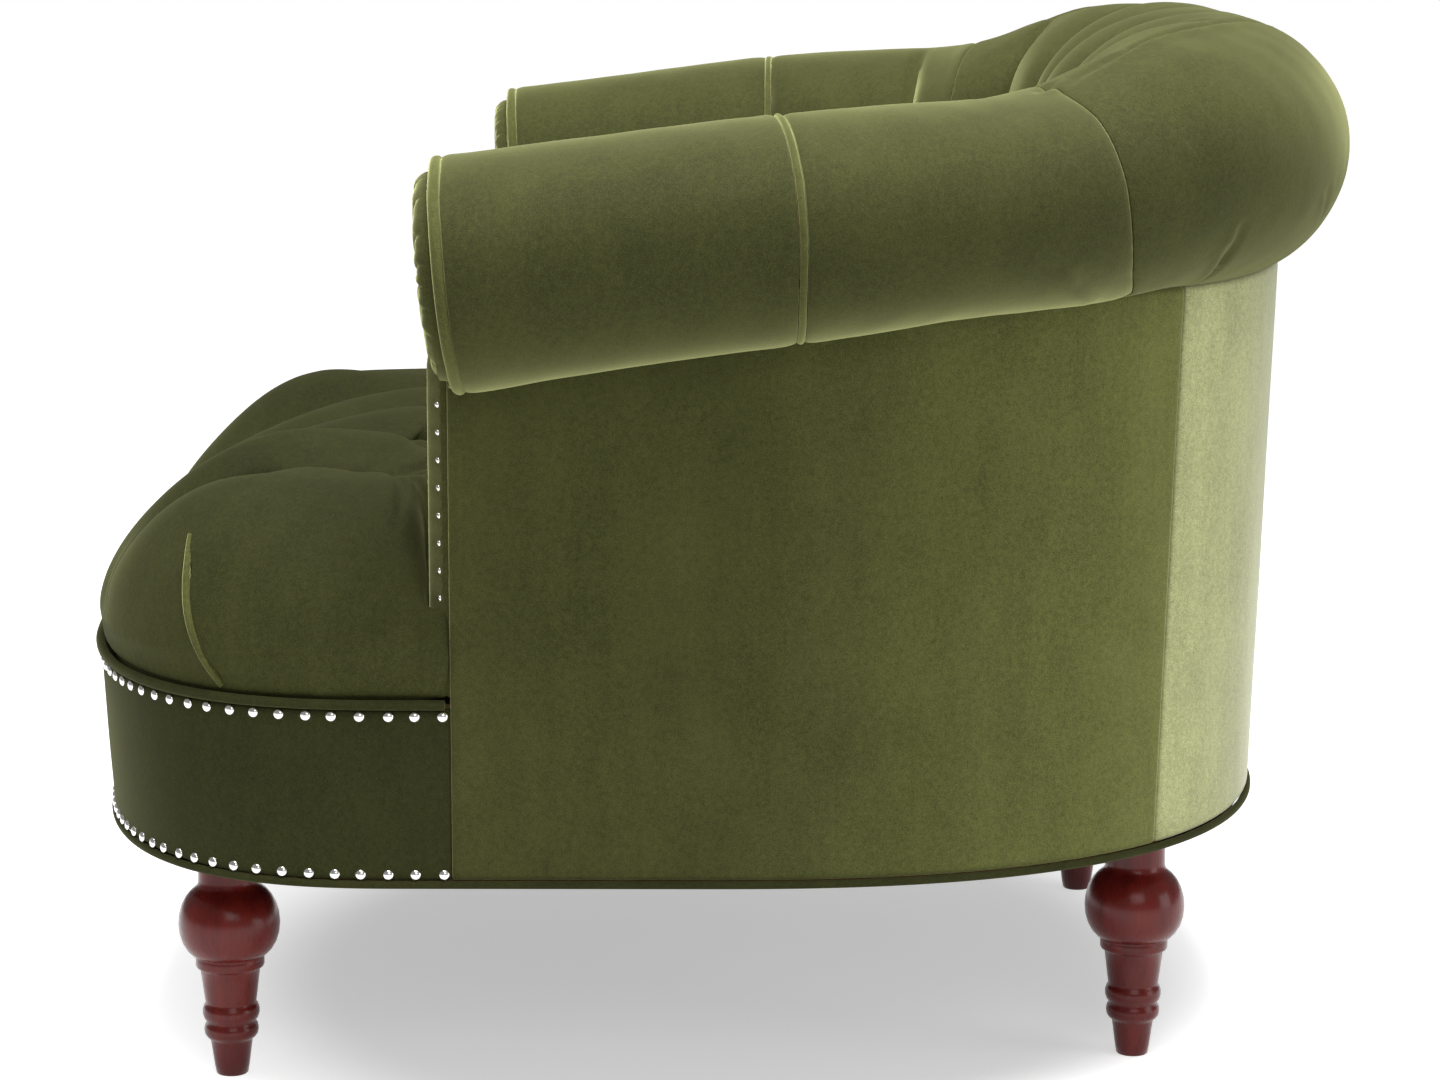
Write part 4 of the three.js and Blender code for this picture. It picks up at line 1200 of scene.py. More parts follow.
@dataclass
class ArmFronts:
    """Pleated round facings and the nailed facings below them."""

    finish: bpy.types.Material
    pleats: int = 20
    bulge: float = 16.0
    edge: float = 8.5
    inset: float = 9.6
    face_y: float = -176.8
    slope: float = 0.095
    post_outer_x: float = 396.0
    post_inner_x: float = 329.6
    post_neck_x: float = 341.0
    post_rise: float = 13.0
    nail_z: float = 402.0
    button_y: float = -186.6
    pleat_depth: float = 5.0
    pleat_twist: float = 0.10
    pleat_wander: float = 0.35
    pleat_lean: float = 0.9
    inner_round: float = 6.0
    outer_round: float = 15.0
    least_depth: float = 0.86
    scallop: float = 0.14

    @staticmethod
    def front() -> tuple[RollCut, np.ndarray]:
        """Section of the roll at the arm fronts, and its centre on the left arm."""
        cut = ROLL.cut(np.array([0.0]))
        return cut, SHELL.place(0.0, cut.out[0], cut.z[0])

    def rosette(self, name: str, side: float) -> bpy.types.Object:
        """Round facing that is pleated in to its button.

        Args:
            name: Name of the CAD node.
            side: 1 for the left arm, -1 for the right arm.

        Returns:
            The facing.
        """
        cut, centre = self.front()
        wide, high = cut.across[0] - self.inset, cut.up[0] - self.inset
        angle = np.linspace(0.0, 2 * math.pi, 24 * self.pleats + 1)
        share = np.concatenate([[0.02], np.linspace(0.08, 0.9, 34), [0.94, 0.97, 0.99, 1.0]])
        twist = angle[:, None] + self.pleat_twist * np.sin(3 * angle)[:, None] * share
        phase = twist * self.pleats / 2 + self.pleat_wander * np.sin(angle * 5)[:, None]
        fold = np.abs(np.sin(phase))
        lean = 0.5 + 0.5 * np.sin(2 * phase + self.pleat_lean)
        dome = np.sqrt(np.clip(1.0 - share**2, 0.0, 1.0)) * ease(share, 0.0, 0.4)
        depth = self.pleat_depth * ease(share, 0.04, 0.25) * ease(share, 1.2, 0.75)
        height = self.edge + (self.bulge - self.edge) * dome
        height = height - depth * (1.0 - fold**0.7 * (0.55 + 0.45 * lean))
        rim = np.clip((1.0 - share) / 0.1, 0.0, 1.0)
        height = np.maximum(height * np.sqrt(1.0 - (1.0 - rim) ** 2), 0.0)
        x = centre[0] + wide * share * np.cos(angle)[:, None]
        z = centre[2] + high * share * np.sin(angle)[:, None]
        rise = self.slope * (z - centre[2])
        y = self.face_y - height - rise
        y = np.where(share < 1.0, np.minimum(y, self.face_y - 1.0), self.face_y - rise)
        return Sewing.cover(name, np.stack([x * side, y, z], axis=-1), self.finish)

    def post(self, name: str, side: float) -> bpy.types.Object:
        """Stuffed facing down the post.

        Args:
            name: Name of the CAD node.
            side: 1 for the left arm, -1 for the right arm.

        Returns:
            The facing.
        """
        low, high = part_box(name)
        bottom, top = low[2] / MM, high[2] / MM + self.post_rise
        front, back = low[1] / MM, high[1] / MM
        cut, centre = self.front()
        clear = self.inset - PAD_GAP
        wide, high = cut.across[0] - clear, cut.up[0] - clear
        across = np.linspace(0.0, 1.0, 34)
        z = np.linspace(bottom, top, 110)[:, None]
        rise = np.clip((z - centre[2]) / high, -1.0, 1.0)
        round_x = np.minimum(centre[0] - wide * np.sqrt(1.0 - rise**2), self.post_outer_x)
        right = np.where(z > centre[2] - high, round_x, self.post_outer_x)
        neck = np.clip((z - INSIDE_LOW_Z) / (top - INSIDE_LOW_Z), 0.0, 1.0)
        left = mix(self.post_inner_x, self.post_neck_x, neck)
        x = mix(left, np.maximum(right, left + 1.0), across[None, :])
        near = np.minimum(x - left, np.minimum(z - bottom, top - z))
        inner = np.clip(1.0 - near / self.inner_round, 0.0, 1.0)
        outer = np.clip(1.0 - (right - x) / self.outer_round, 0.0, 1.0)
        scallop = self.scallop * np.abs(np.sin(math.pi * (z - self.nail_z) / POST_NAIL_PITCH)) ** 0.7
        depth = np.sqrt(np.clip(1.0 - inner**2 * 0.97, 0.0, 1.0))
        depth = depth * (1.0 - (self.least_depth - scallop) * outer**1.2)
        y = back - (back - front) * depth
        points = np.stack([x * side, y, np.broadcast_to(z, x.shape)], axis=-1)
        points = np.pad(points, ((1, 1), (1, 1), (0, 0)), mode="edge")
        for rim in (points[0], points[-1], points[:, 0], points[:, -1]):
            rim[:, 1] = back
        return Sewing.cover(name, points, self.finish)

    def build(self) -> list[tuple[np.ndarray, np.ndarray]]:
        """Builds the arm fronts.

        Returns:
            Place and way of the facings' buttons.
        """
        buttons = []
        centre = self.front()[1]
        for side, sign in SIDES.items():
            self.rosette(f"{side}_arm_facing", sign)
            self.post(f"{side}_post_facing", sign)
            place = np.array([sign * centre[0], self.button_y, centre[2]])
            buttons.append((place, np.array([0.0, -1.0, 0.0])))
        return buttons


@dataclass
class SeatPad:
    """The tight tufted seat."""

    finish: bpy.types.Material
    tuck_painted_light_finish: bpy.types.Material
    top_z: float = 450.0
    side_top_z: float = 434.5
    bulge: float = -1.0
    corner_bulge: float = 4.0
    bulge_z: float = 319.0
    front_shoulder: float = 240.0
    side_shoulder: float = 104.0
    front_power: float = 1.65
    side_power: float = 2.05
    channel: float = 115.0
    first_row_y: float = -232.2
    row_pitch: float = 100.0
    fold_depth: float = 20.0
    side_x: float = 318.0
    wing_back_y: float = -192.0
    wing_side_y: float = -176.7
    wing_drop: float = 50.0
    wing_outer_x: float = 391.8
    arm_y: float = -142.0
    overrun: float = 460.0
    taper: float = 62.0
    foot: tuple[Pair, ...] = (
        (DECK_Z, -9.6), (WELT_Z + 3.4, -9.6), (WELT_Z + 4.0, -2.5), (302.0, -1.6), (310.0, -1.2))
    full_span: Pair = (110.0, 275.0)
    low_span: Pair = (190.0, 270.0)
    plan_reach: float = 900.0
    outer_reach: float = 40.0
    outer_fade: float = 0.25
    front_fade: float = 0.7
    foot_fade: Pair = (WELT_Z - 2.0, WELT_Z + 30.0)
    room_fade: Pair = (4.0, 50.0)
    post_room: float = 12.0
    edge_drop: float = 20.0
    edge_reach: float = 45.0
    edge_heights: Pair = (375.0, 445.0)
    wing_round: float = 21.0
    wing_span: Pair = (296.0, 326.0)
    wing_heights: Pair = (345.0, 425.0)
    button_room: float = 30.0
    button_reach: float = 2.2
    button_spread: float = 14.0
    tuck_short: float = 4.0
    tuck_points: int = 60
    tuck_near: int = 40
    tuck_passes: int = 90
    tuck_lift: float = 0.6
    unevenness: Pair = (0.5, 120.0)
    voxel: float = 5.0
    tufting: Tufting = field(default_factory=lambda: Tufting(0.5, 0.28, 0.05, 0.35, 0.05))
    corner_pleat: tuple[tuple[float, float, float], ...] = (
        (321.0, -356.0, 392.0), (331.0, -356.5, 384.0), (341.0, -357.0, 372.0), (348.0, -356.0, 357.0),
        (354.0, -353.0, 341.0), (360.0, -346.0, 324.0), (365.0, -338.0, 310.0), (369.0, -330.5, 298.0))
    pleat_crease: tuple[float, float, float] = (6.5, 3.6, 2.6)
    pleat_lip: tuple[float, float, float] = (1.6, -7.0, 6.0)
    gather_from: Pair = (232.0, -246.0)
    gather_width: float = 3.4
    gathers: tuple[Pair, ...] = (
        (124.0, 6.5), (106.0, 8.0), (88.0, 7.0), (62.0, 7.0), (40.0, 8.0), (28.0, 7.0), (18.0, 5.5))

    def block(self) -> bpy.types.Object:
        """The seat without its tufts.

        Returns:
            A closed block.
        """
        along = np.linspace(-self.overrun, BOW.length + self.overrun, 340)
        held = np.clip(along, 0.0, BOW.length)
        away = BOW.outward(held)
        aside = ease(np.abs(BOW.point(held)[:, 0]), *self.full_span)
        shoulder = mix(self.front_shoulder, self.side_shoulder, aside)
        power = mix(self.front_power, self.side_power, aside)
        bulge = mix(self.bulge, self.corner_bulge, aside)
        rings = []
        for z, out in self.foot:
            rings.append(BOW.place(along, out, z))
        for angle in np.linspace(0.0, math.pi / 2, 26):
            out = bulge - shoulder * (1.0 - max(math.cos(angle), 0.0) ** (2.0 / power))
            z = mix(self.bulge_z, self.top_z, math.sin(angle) ** (2.0 / power))
            rings.append(BOW.place(along, out, z))
        lean_height = BOW.lean_to_z - BOW.lean_from_z
        for ring in rings:
            lean = BOW.lean * away[:, 1] ** 2 * (ring[:, 2] - BOW.lean_to_z) / lean_height
            ring[:, :2] -= away * np.maximum(lean, 0.0)[:, None]
            share = np.clip((ring[:, 2] - self.bulge_z) / (self.top_z - self.bulge_z), 0.0, 1.0)
            lower = (self.top_z - self.side_top_z) * ease(np.abs(ring[:, 0]), *self.low_span)
            ring[:, 2] -= lower * share
        body = Sewing.grid("seat_body", np.array([np.vstack([ring, ring[:1]]) for ring in rings]))
        Sewing.seal(body)
        plan = self.plan_prism()
        Sewing.apply(body, "BOOLEAN", operation="INTERSECT", object=plan, solver="EXACT")
        bpy.data.objects.remove(plan, do_unlink=True)
        return body

    def plan_prism(self) -> bpy.types.Object:
        """Prism over the seat's plan: a T that is cut back beside the arms.

        Returns:
            The prism.
        """
        inside = self.pad_feet(220, 1.0)
        inside = inside[inside[:, 1] > self.wing_back_y + 16.0]
        x, y, far = self.side_x, self.wing_back_y, self.plan_reach
        wing, side = self.wing_outer_x, self.wing_side_y
        fore = np.array([[far, -far], [far, side], [wing, side], [wing, y], [x, y]])
        aft = fore[::-1] * [-1.0, 1.0]
        outline = np.vstack([fore, inside, aft])
        rows = []
        for z in (DECK_Z, self.top_z + 40.0):
            rows.append(np.column_stack([outline, np.full(len(outline), z)]))
        prism = Sewing.grid("seat_plan", np.array([np.vstack([row, row[:1]]) for row in rows]))
        Sewing.seal(prism)
        return prism

    @staticmethod
    def pad_feet(count: int, room: float) -> np.ndarray:
        """Plan of the line on which the arm and back pads stand.

        Args:
            count: How many points.
            room: How far it lies inside them.

        Returns:
            The points.
        """
        distance = np.linspace(0.0, SHELL.length, count)
        return SHELL.place(distance, ROLL.cut(distance).inside - room, PAD_FOOT_Z)[:, :2]

    def sink(self, points: np.ndarray) -> np.ndarray:
        """Depth to which channels and tufts draw in the seat.

        Args:
            points: Places on it.

        Returns:
            The depth at each.
        """
        reach = np.abs(points[:, 0])
        last = 2.0 * self.channel
        beyond = 2.0 + 0.5 * np.clip((reach - last) / self.taper, 0.0, 1.0)
        column = np.where(reach < last, reach / self.channel, beyond)
        row = (points[:, 1] - self.first_row_y) / self.row_pitch
        rise = (points[:, 2] - self.bulge_z) / (self.top_z - self.bulge_z)
        sway = 0.03 * np.sin(points[:, 1] / 27.0 + 3.0 * column) * ease(-row, 0.1, 0.6)
        sway = np.where(reach > last, 0.0, sway)
        depth = self.fold_depth * mix(0.5, 1.0, ease(rise, -0.1, 0.9))
        outer = ease(reach, last - self.outer_reach, last)
        depth = depth * (1.0 - self.outer_fade * outer * ease(points[:, 1], -330.0, -250.0))
        depth = depth * (1.0 - self.front_fade * outer * ease(rise, 0.8, 0.2))
        depth = depth * ease(points[:, 2], *self.foot_fade)
        depth = depth * self.tufting.sink(column + sway, row)
        return depth * ease(self.back_room(points), *self.room_fade) + self.pleats(points)

    def corner_line(self, cut_short: float, count: int) -> tuple[np.ndarray, np.ndarray]:
        """Line of the pleat at the left front corner, in even steps.

        Args:
            cut_short: How much of its end is left out.
            count: How many points.

        Returns:
            The points, and the share of the whole line that lies before each.
        """
        knots = np.array(self.corner_pleat)
        walked = walk(knots)
        fine = np.linspace(0.0, walked[-1] - cut_short, count)
        return np.column_stack([np.interp(fine, walked, knots[:, k]) for k in range(3)]), fine / walked[-1]

    def pleats(self, points: np.ndarray) -> np.ndarray:
        """Depth of the pleat at the front corner and of the gathers beside the arm post.

        Args:
            points: Places on the seat.

        Returns:
            The depth at each, negative where the cloth stands up.
        """
        folded = points.copy()
        folded[:, 0] = np.abs(folded[:, 0])
        line, share = (fine[::4] for fine in self.corner_line(0.0, 160))
        nearest = np.argmin(np.linalg.norm(folded[:, None, :] - line[None], axis=2), axis=1)
        offset, along = folded - line[nearest], share[nearest]
        across = np.where(offset[:, 0] * 0.55 + offset[:, 1] > 0, 1.0, -1.0) * np.linalg.norm(offset, axis=1)
        strength = ease(along, 0.0, 0.25) * ease(along, 1.0, 0.85)
        (crease, *crease_spot), (lip, *lip_spot) = self.pleat_crease, self.pleat_lip
        depth = strength * (crease * bump(across, *crease_spot) - lip * bump(across, *lip_spot))
        dx, dy = folded[:, 0] - self.gather_from[0], folded[:, 1] - self.gather_from[1]
        far, turn = np.hypot(dx, dy), np.degrees(np.arctan2(dy, dx))
        for angle, deep in self.gathers:
            across = far * np.sin(np.radians(turn - angle - 6.0 * np.sin(far / 34.0)))
            live = (np.abs(turn - angle) < 60.0) & (dy > -4.0)
            fold = np.where(live, deep * bump(across, 0.0, self.gather_width), 0.0)
            depth += fold * ease(far, 8.0, 34.0) * ease(far, 150.0, 105.0)
        return depth

    def back_room(self, points: np.ndarray) -> np.ndarray:
        """Distance from a point to the pads beside and behind it.

        Args:
            points: Places on the seat.

        Returns:
            The distance at each, large in front of the arms.
        """
        inside = self.pad_feet(160, 0.0)
        inside = inside[inside[:, 1] > self.arm_y]
        room = np.full(len(points), 1e9)
        for spot in inside:
            room = np.minimum(room, np.hypot(points[:, 0] - spot[0], points[:, 1] - spot[1]))
        post = np.hypot(np.maximum(self.side_x - np.abs(points[:, 0]), 0.0),
                        np.maximum(self.wing_back_y - points[:, 1], 0.0))
        return np.where(points[:, 1] > self.arm_y, room, np.minimum(room, post + self.post_room))

    def build(self) -> bpy.types.Object:
        """Builds the seat.

        Returns:
            The seat.
        """
        piece = self.block()
        piece.name = piece.data.name = "seat_pad_velvet"
        Sewing.pick(piece)
        piece.data.remesh_voxel_size = self.voxel * MM
        bpy.ops.object.voxel_remesh()
        Sewing.apply(piece, "SMOOTH", factor=0.5, iterations=6)
        Sewing.apply(piece, "SUBSURF", levels=1, render_levels=1)
        points = Sewing.spots(piece)
        normals = Sewing.normals(piece)
        top = ease(normals[:, 2], -0.6, 0.2)
        room = self.back_room(points)
        near_pad = 1.0 - ease(room, 0.0, self.edge_reach)
        points[:, 2] -= self.edge_drop * near_pad * ease(points[:, 2], *self.edge_heights)
        behind = np.clip(1.0 - (self.wing_back_y - points[:, 1]) / self.wing_round, 0.0, 1.0)
        drop = self.wing_drop * (1.0 - np.sqrt(np.clip(1.0 - behind**2, 0.0, 1.0)))
        wing = ease(np.abs(points[:, 0]), *self.wing_span)
        points[:, 2] -= drop * wing * ease(points[:, 2], *self.wing_heights)
        points -= normals * (self.sink(points) * top)[:, None]
        size, length = self.unevenness
        points += normals * (size * ripple(points, length, 61) * top)[:, None]
        Sewing.move(piece, points)
        Sewing.pick(piece)
        bpy.ops.object.shade_smooth()
        return Sewing.dress(piece, Slot.VELVET, self.finish, ["seat_pad"])

    def corner_tucks(self, piece: bpy.types.Object) -> None:
        """Lays the sewn edge of the pleat at each front corner on the seat.

        Args:
            piece: The seat.
        """
        points, normals = Sewing.spots(piece), Sewing.normals(piece)
        line = self.corner_line(self.tuck_short, self.tuck_points)[0]
        thick = 0.6 + 2.4 * np.sin(np.linspace(0.1, math.pi * 0.86, len(line))) ** 0.6
        for side, sign in SIDES.items():
            path = []
            for spot in line * [sign, 1.0, 1.0]:
                near = np.argsort(np.linalg.norm(points - spot, axis=1))[:self.tuck_near]
                out = normals[near].mean(axis=0)
                out /= np.linalg.norm(out)
                path.append(spot + out * ((points[near].mean(axis=0) - spot) @ out + self.tuck_lift))
            path = np.array(path)
            for _ in range(self.tuck_passes):
                path[1:-1] = (path[:-2] + 2.0 * path[1:-1] + path[2:]) / 4.0
            tuck = Sewing.tube(f"{side}_corner_tuck", path, 1.0, 12, False, thick)
            # Painted light: the tuck takes the lighter copy of the velvet.
            Sewing.dress(tuck, Slot.VELVET, self.tuck_painted_light_finish)

    def button_places(self, piece: bpy.types.Object) -> list[tuple[np.ndarray, np.ndarray]]:
        """Places of the seat's buttons.

        Args:
            piece: The seat.

        Returns:
            A place and an outward way for each.
        """
        points, normals = Sewing.spots(piece), Sewing.normals(piece)
        top = normals[:, 2] > 0.5
        points, normals = points[top], normals[top]
        found = []
        for row in range(4):
            offset = 0.5 * (row % 2)
            y = self.first_row_y + row * self.row_pitch
            for column in range(-3, 4):
                x = (column + offset) * self.channel
                if abs(x) > self.channel * self.button_reach:
                    continue
                near = np.hypot(points[:, 0] - x, points[:, 1] - y)
                if self.back_room(np.array([[x, y, self.top_z]]))[0] < self.button_room:
                    continue
                k = int(np.argmin(near))
                way = normals[near < self.button_spread].mean(axis=0)
                found.append((points[k] + [0.0, 0.0, 1.0], way / np.linalg.norm(way)))
        return found


@dataclass
class Nails:
    """Polished dome-headed nails along the border and down the arm posts."""

    finish: bpy.types.Material
    radius: float = 4.0
    height: float = 2.6
    pitch: float = 18.4
    stray: float = 0.9
    border_rows: tuple[tuple[str, float], ...] = (
        ("upper_border_nails", 284.5), ("lower_border_nails", 174.5))
    border_end: float = 5.0
    border_inset: float = 14.0
    sunk: float = 0.4
    post_heights: Pair = (308.0, 512.0)
    post_x: float = 391.0
    post_y: float = -183.4
    post_way: Pair = (0.55, -0.835)
    post_size: float = 0.58

    def head(self) -> bpy.types.Object:
        """One nail head, facing up at the origin.

        Returns:
            The head.
        """
        Sewing.clear()
        bpy.ops.mesh.primitive_uv_sphere_add(segments=18, ring_count=12, radius=self.radius * MM)
        piece = bpy.context.object
        points = Sewing.spots(piece)
        z = points[:, 2]
        points[:, 2] = np.where(z > 0, z * self.height / self.radius, z * 0.12)
        Sewing.move(piece, points)
        return piece

    def row(self, name: str, places: np.ndarray, ways: np.ndarray, size: float = 1.0) -> bpy.types.Object:
        """A row of nails as one piece.

        Args:
            name: Name of the piece.
            places: Where the heads sit.
            ways: The ways that they face.
            size: Their size, as a share of the plain nail.

        Returns:
            The row.
        """
        made = []
        head = self.head()
        base = Sewing.spots(head) * size
        for place, way in zip(places, ways):
            copy = head.copy()
            copy.data = head.data.copy()
            bpy.context.scene.collection.objects.link(copy)
            turn = Vector(way).to_track_quat("Z", "Y").to_matrix()
            Sewing.move(copy, base @ np.array(turn).T + place)
            made.append(copy)
        bpy.data.objects.remove(head, do_unlink=True)
        return Sewing.dress(Sewing.join(made, name), Slot.STEEL, self.finish)

    def build(self) -> None:
        """Builds the rows of nails."""
        for name, z in self.border_rows:
            count = round((BOW.length - self.border_inset) / self.pitch)
            along = np.linspace(self.border_end, BOW.length - self.border_end, count)
            along[1:-1] += np.random.default_rng(int(z)).uniform(-self.stray, self.stray, count - 2)
            away = BOW.outward(along)
            ways = np.column_stack([away, np.zeros(count)])
            self.row(name, BOW.place(along, -self.sunk, np.full(count, z)), ways)
        for side, sign in SIDES.items():
            z = np.arange(*self.post_heights, POST_NAIL_PITCH)
            places = np.column_stack([np.full_like(z, self.post_x) * sign, np.full_like(z, self.post_y), z])
            ways = np.tile([self.post_way[0] * sign, self.post_way[1], 0.0], (len(z), 1))
            self.row(f"{side}_post_nails", places, ways, self.post_size)


@dataclass
class Legs:
    """Turned mahogany legs."""

    finish: bpy.types.Material
    profile: tuple[Pair, ...] = (
        (10.6, 0.0), (11.4, 0.8), (12.5, 7.0), (13.7, 16.0), (14.9, 24.6), (15.6, 26.2), (17.2, 27.2),
        (18.9, 29.6), (19.4, 33.0), (18.8, 36.2), (17.4, 38.3), (17.5, 39.2), (19.2, 41.2),
        (20.2, 44.4), (20.2, 47.8), (19.2, 50.8), (18.0, 52.4), (18.1, 53.4), (18.9, 59.0),
        (20.0, 68.0), (21.2, 77.2), (22.3, 78.4), (23.8, 79.2), (24.4, 80.6), (24.4, 85.4),
        (23.9, 86.6), (24.2, 87.4), (27.0, 88.6), (30.4, 92.2), (33.5, 97.6), (35.4, 104.0),
        (36.0, 111.0), (35.4, 118.0), (33.5, 124.6), (30.6, 130.2), (27.0, 134.4), (23.4, 137.4),
        (21.9, 139.6), (21.4, 143.0), (21.4, 164.6), (20.8, 165.0))

    def build(self) -> None:
        """Builds the legs."""
        for end in ("front", "rear"):
            for side in SIDES:
                self.leg(f"leg_{end}_{side}")

    def leg(self, node: str) -> bpy.types.Object:
        """One leg, spun from its profile.

        Args:
            node: Name of the CAD node.

        Returns:
            The leg.
        """
        low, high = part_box(node)
        x, y = (low[0] + high[0]) / 2 / MM, (low[1] + high[1]) / 2 / MM
        profile = np.array(self.profile)
        angle = np.linspace(0.0, 2 * math.pi, 65)
        points = np.stack([
            x + profile[:, :1] * np.cos(angle), y + profile[:, :1] * np.sin(angle),
            np.broadcast_to(profile[:, 1:], (len(profile), 65))], axis=-1)
        piece = Sewing.grid(f"{node}_turned", points)
        Sewing.seal(piece)
        return Sewing.dress(piece, Slot.MAHOGANY, self.finish, [node])


class Nodes:
    """Short hand for building shader nodes."""

    def __init__(self, tree: bpy.types.NodeTree) -> None:
        """Keeps the tree.

        Args:
            tree: The node tree.
        """
        self.tree = tree

    def add(self, kind: str, inputs: dict | None = None, **settings) -> bpy.types.Node:
        """Adds a node.

        Args:
            kind: Kind of node.
            inputs: Values or links for its inputs.
            **settings: Its settings.

        Returns:
            The node.
        """
        node = self.tree.nodes.new(kind)
        for key, value in settings.items():
            setattr(node, key, value)
        self.feed(node, inputs or {})
        return node

    def feed(self, node: bpy.types.Node, inputs: dict) -> None:
        """Sets or links the inputs of a node.

        Args:
            node: The node.
            inputs: Values or links for its inputs.
        """
        for key, value in inputs.items():
            if isinstance(value, bpy.types.NodeSocket):
                self.tree.links.new(value, node.inputs[key])
            else:
                node.inputs[key].default_value = value

    def math(self, operation: str, first: Link, second: Link = 0.0) -> bpy.types.NodeSocket:
        """Adds a Math node.

        Args:
            operation: What it does.
            first: First value or link.
            second: Second value or link.

        Returns:
            Its result.
        """
        return self.add("ShaderNodeMath", {0: first, 1: second}, operation=operation).outputs[0]

    def line(self, value: Link, slope: Link, start: Link) -> bpy.types.NodeSocket:
        """Adds Math nodes for a value times a slope, plus a start.

        Args:
            value: First value or link.
            slope: What it is multiplied by.
            start: What is added.

        Returns:
            Their result.
        """
        return self.math("ADD", self.math("MULTIPLY", value, slope), start)

    def noise(self, vector: Link, scale: Link, detail: float = 2.0,
              roughness: float = 0.5) -> bpy.types.NodeSocket:
        """Adds a Noise Texture.

        Args:
            vector: Where it is read.
            scale: Waves in a metre.
            detail: Octaves.
            roughness: Strength of the small octaves.

        Returns:
            Its value.
        """
        inputs = {"Vector": vector, "Scale": scale, "Detail": detail, "Roughness": roughness}
        return self.add("ShaderNodeTexNoise", inputs).outputs["Fac"]

    def ramp(self, value: Link, low: float, high: float) -> bpy.types.NodeSocket:
        """Adds a Map Range node from 0 to 1.

        Args:
            value: What it reads.
            low: Value that gives 0.
            high: Value that gives 1.

        Returns:
            Its result.
        """
        inputs = {"Value": value, "From Min": low, "From Max": high, "To Min": 0.0, "To Max": 1.0}
        return self.add("ShaderNodeMapRange", inputs, clamp=True).outputs[0]

    def blend(self, share: Link, first: Link, second: Link) -> bpy.types.NodeSocket:
        """Adds a Mix node for colours.

        Args:
            share: How much of the second.
            first: First colour or link.
            second: Second colour or link.

        Returns:
            Its result.
        """
        return self.add("ShaderNodeMix", {0: share, 6: first, 7: second}, data_type="RGBA").outputs[2]


def new_group(name: str, ins: dict[str, Link]) -> tuple[Nodes, Sequence[bpy.types.NodeSocket]]:
    """Starts a shader node group that puts out a colour, a roughness and a height.

    Args:
        name: Name of the group.
        ins: Names and first values of its inputs, beside the place that it reads.

    Returns:
        The group's nodes, and the sockets that give its inputs.
    """
    group = bpy.data.node_groups.new(name, "ShaderNodeTree")
    for key, value in {"Vector": (0.0, 0.0, 0.0), **ins}.items():
        kind = "NodeSocketFloat"
        if isinstance(value, tuple):
            kind = "NodeSocketColor" if len(value) == 4 else "NodeSocketVector"
        socket = group.interface.new_socket(key, in_out="INPUT", socket_type=kind)
        socket.default_value = value
    for key, kind in (("Color", "NodeSocketColor"), ("Roughness", "NodeSocketFloat"),
                      ("Height", "NodeSocketFloat")):
        group.interface.new_socket(key, in_out="OUTPUT", socket_type=kind)
    nodes = Nodes(group)
    return nodes, nodes.add("NodeGroupInput").outputs


def pile_group() -> None:
    """Makes the group for the pile of velvet: mottled colour, roughness and height, with painted light that
    scales the colour towards the back of the chair and towards the floor.
    """
    nodes, start = new_group("velvet_pile", {
        "Deep": (0.03, 0.04, 0.01, 1.0), "Bright": (0.1, 0.12, 0.03, 1.0), "Pile Scale": 900.0,
        "Patch Scale": 9.0, "Patch Strength": 0.3, "Lift": 0.0, "Painted Low Light": 0.0})
    pile = nodes.noise(start["Vector"], start["Pile Scale"], 2.0, 0.6)
    tufts = nodes.noise(start["Vector"], nodes.math("MULTIPLY", start["Pile Scale"], 0.22), 3.0, 0.65)
    patch = nodes.noise(start["Vector"], start["Patch Scale"], 4.0, 0.6)
    brushed = nodes.add("ShaderNodeMapping", {"Vector": start["Vector"], "Scale": (1.0, 1.0, 0.25)})
    streak = nodes.noise(brushed.outputs[0], nodes.math("MULTIPLY", start["Patch Scale"], 5.0), 3.0, 0.6)
    fine = nodes.line(pile, 0.68, nodes.math("MULTIPLY", tufts, 0.32))
    large = nodes.line(patch, 0.65, nodes.math("MULTIPLY", streak, 0.35))
    large = nodes.math("MULTIPLY", nodes.math("SUBTRACT", large, 0.5), start["Patch Strength"])
    share = nodes.ramp(nodes.math("ADD", fine, large), 0.33, 0.68)
    colour = nodes.blend(share, start["Deep"], start["Bright"])
    place = nodes.add("ShaderNodeSeparateXYZ", {0: start["Vector"]}).outputs
    # Painted light and shade: the colour is made lighter towards the back of the chair, darker there where
    # the value is negative, and lighter low down, standing in for the lamps.
    painted_light = nodes.line(nodes.ramp(place["Y"], 0.02, 0.38), start["Lift"], 1.0)
    painted_low_light_mask = nodes.math("SUBTRACT", 1.0, nodes.ramp(place["Z"], 0.29, 0.43))
    painted_light = nodes.line(painted_low_light_mask, start["Painted Low Light"], painted_light)
    painted_light_colour = nodes.add("ShaderNodeVectorMath", {0: colour, "Scale": painted_light}, operation="SCALE").outputs[0]
    rough = nodes.line(share, 0.12, 0.8)
    nodes.add("NodeGroupOutput", {"Color": painted_light_colour, "Roughness": rough, "Height": fine})


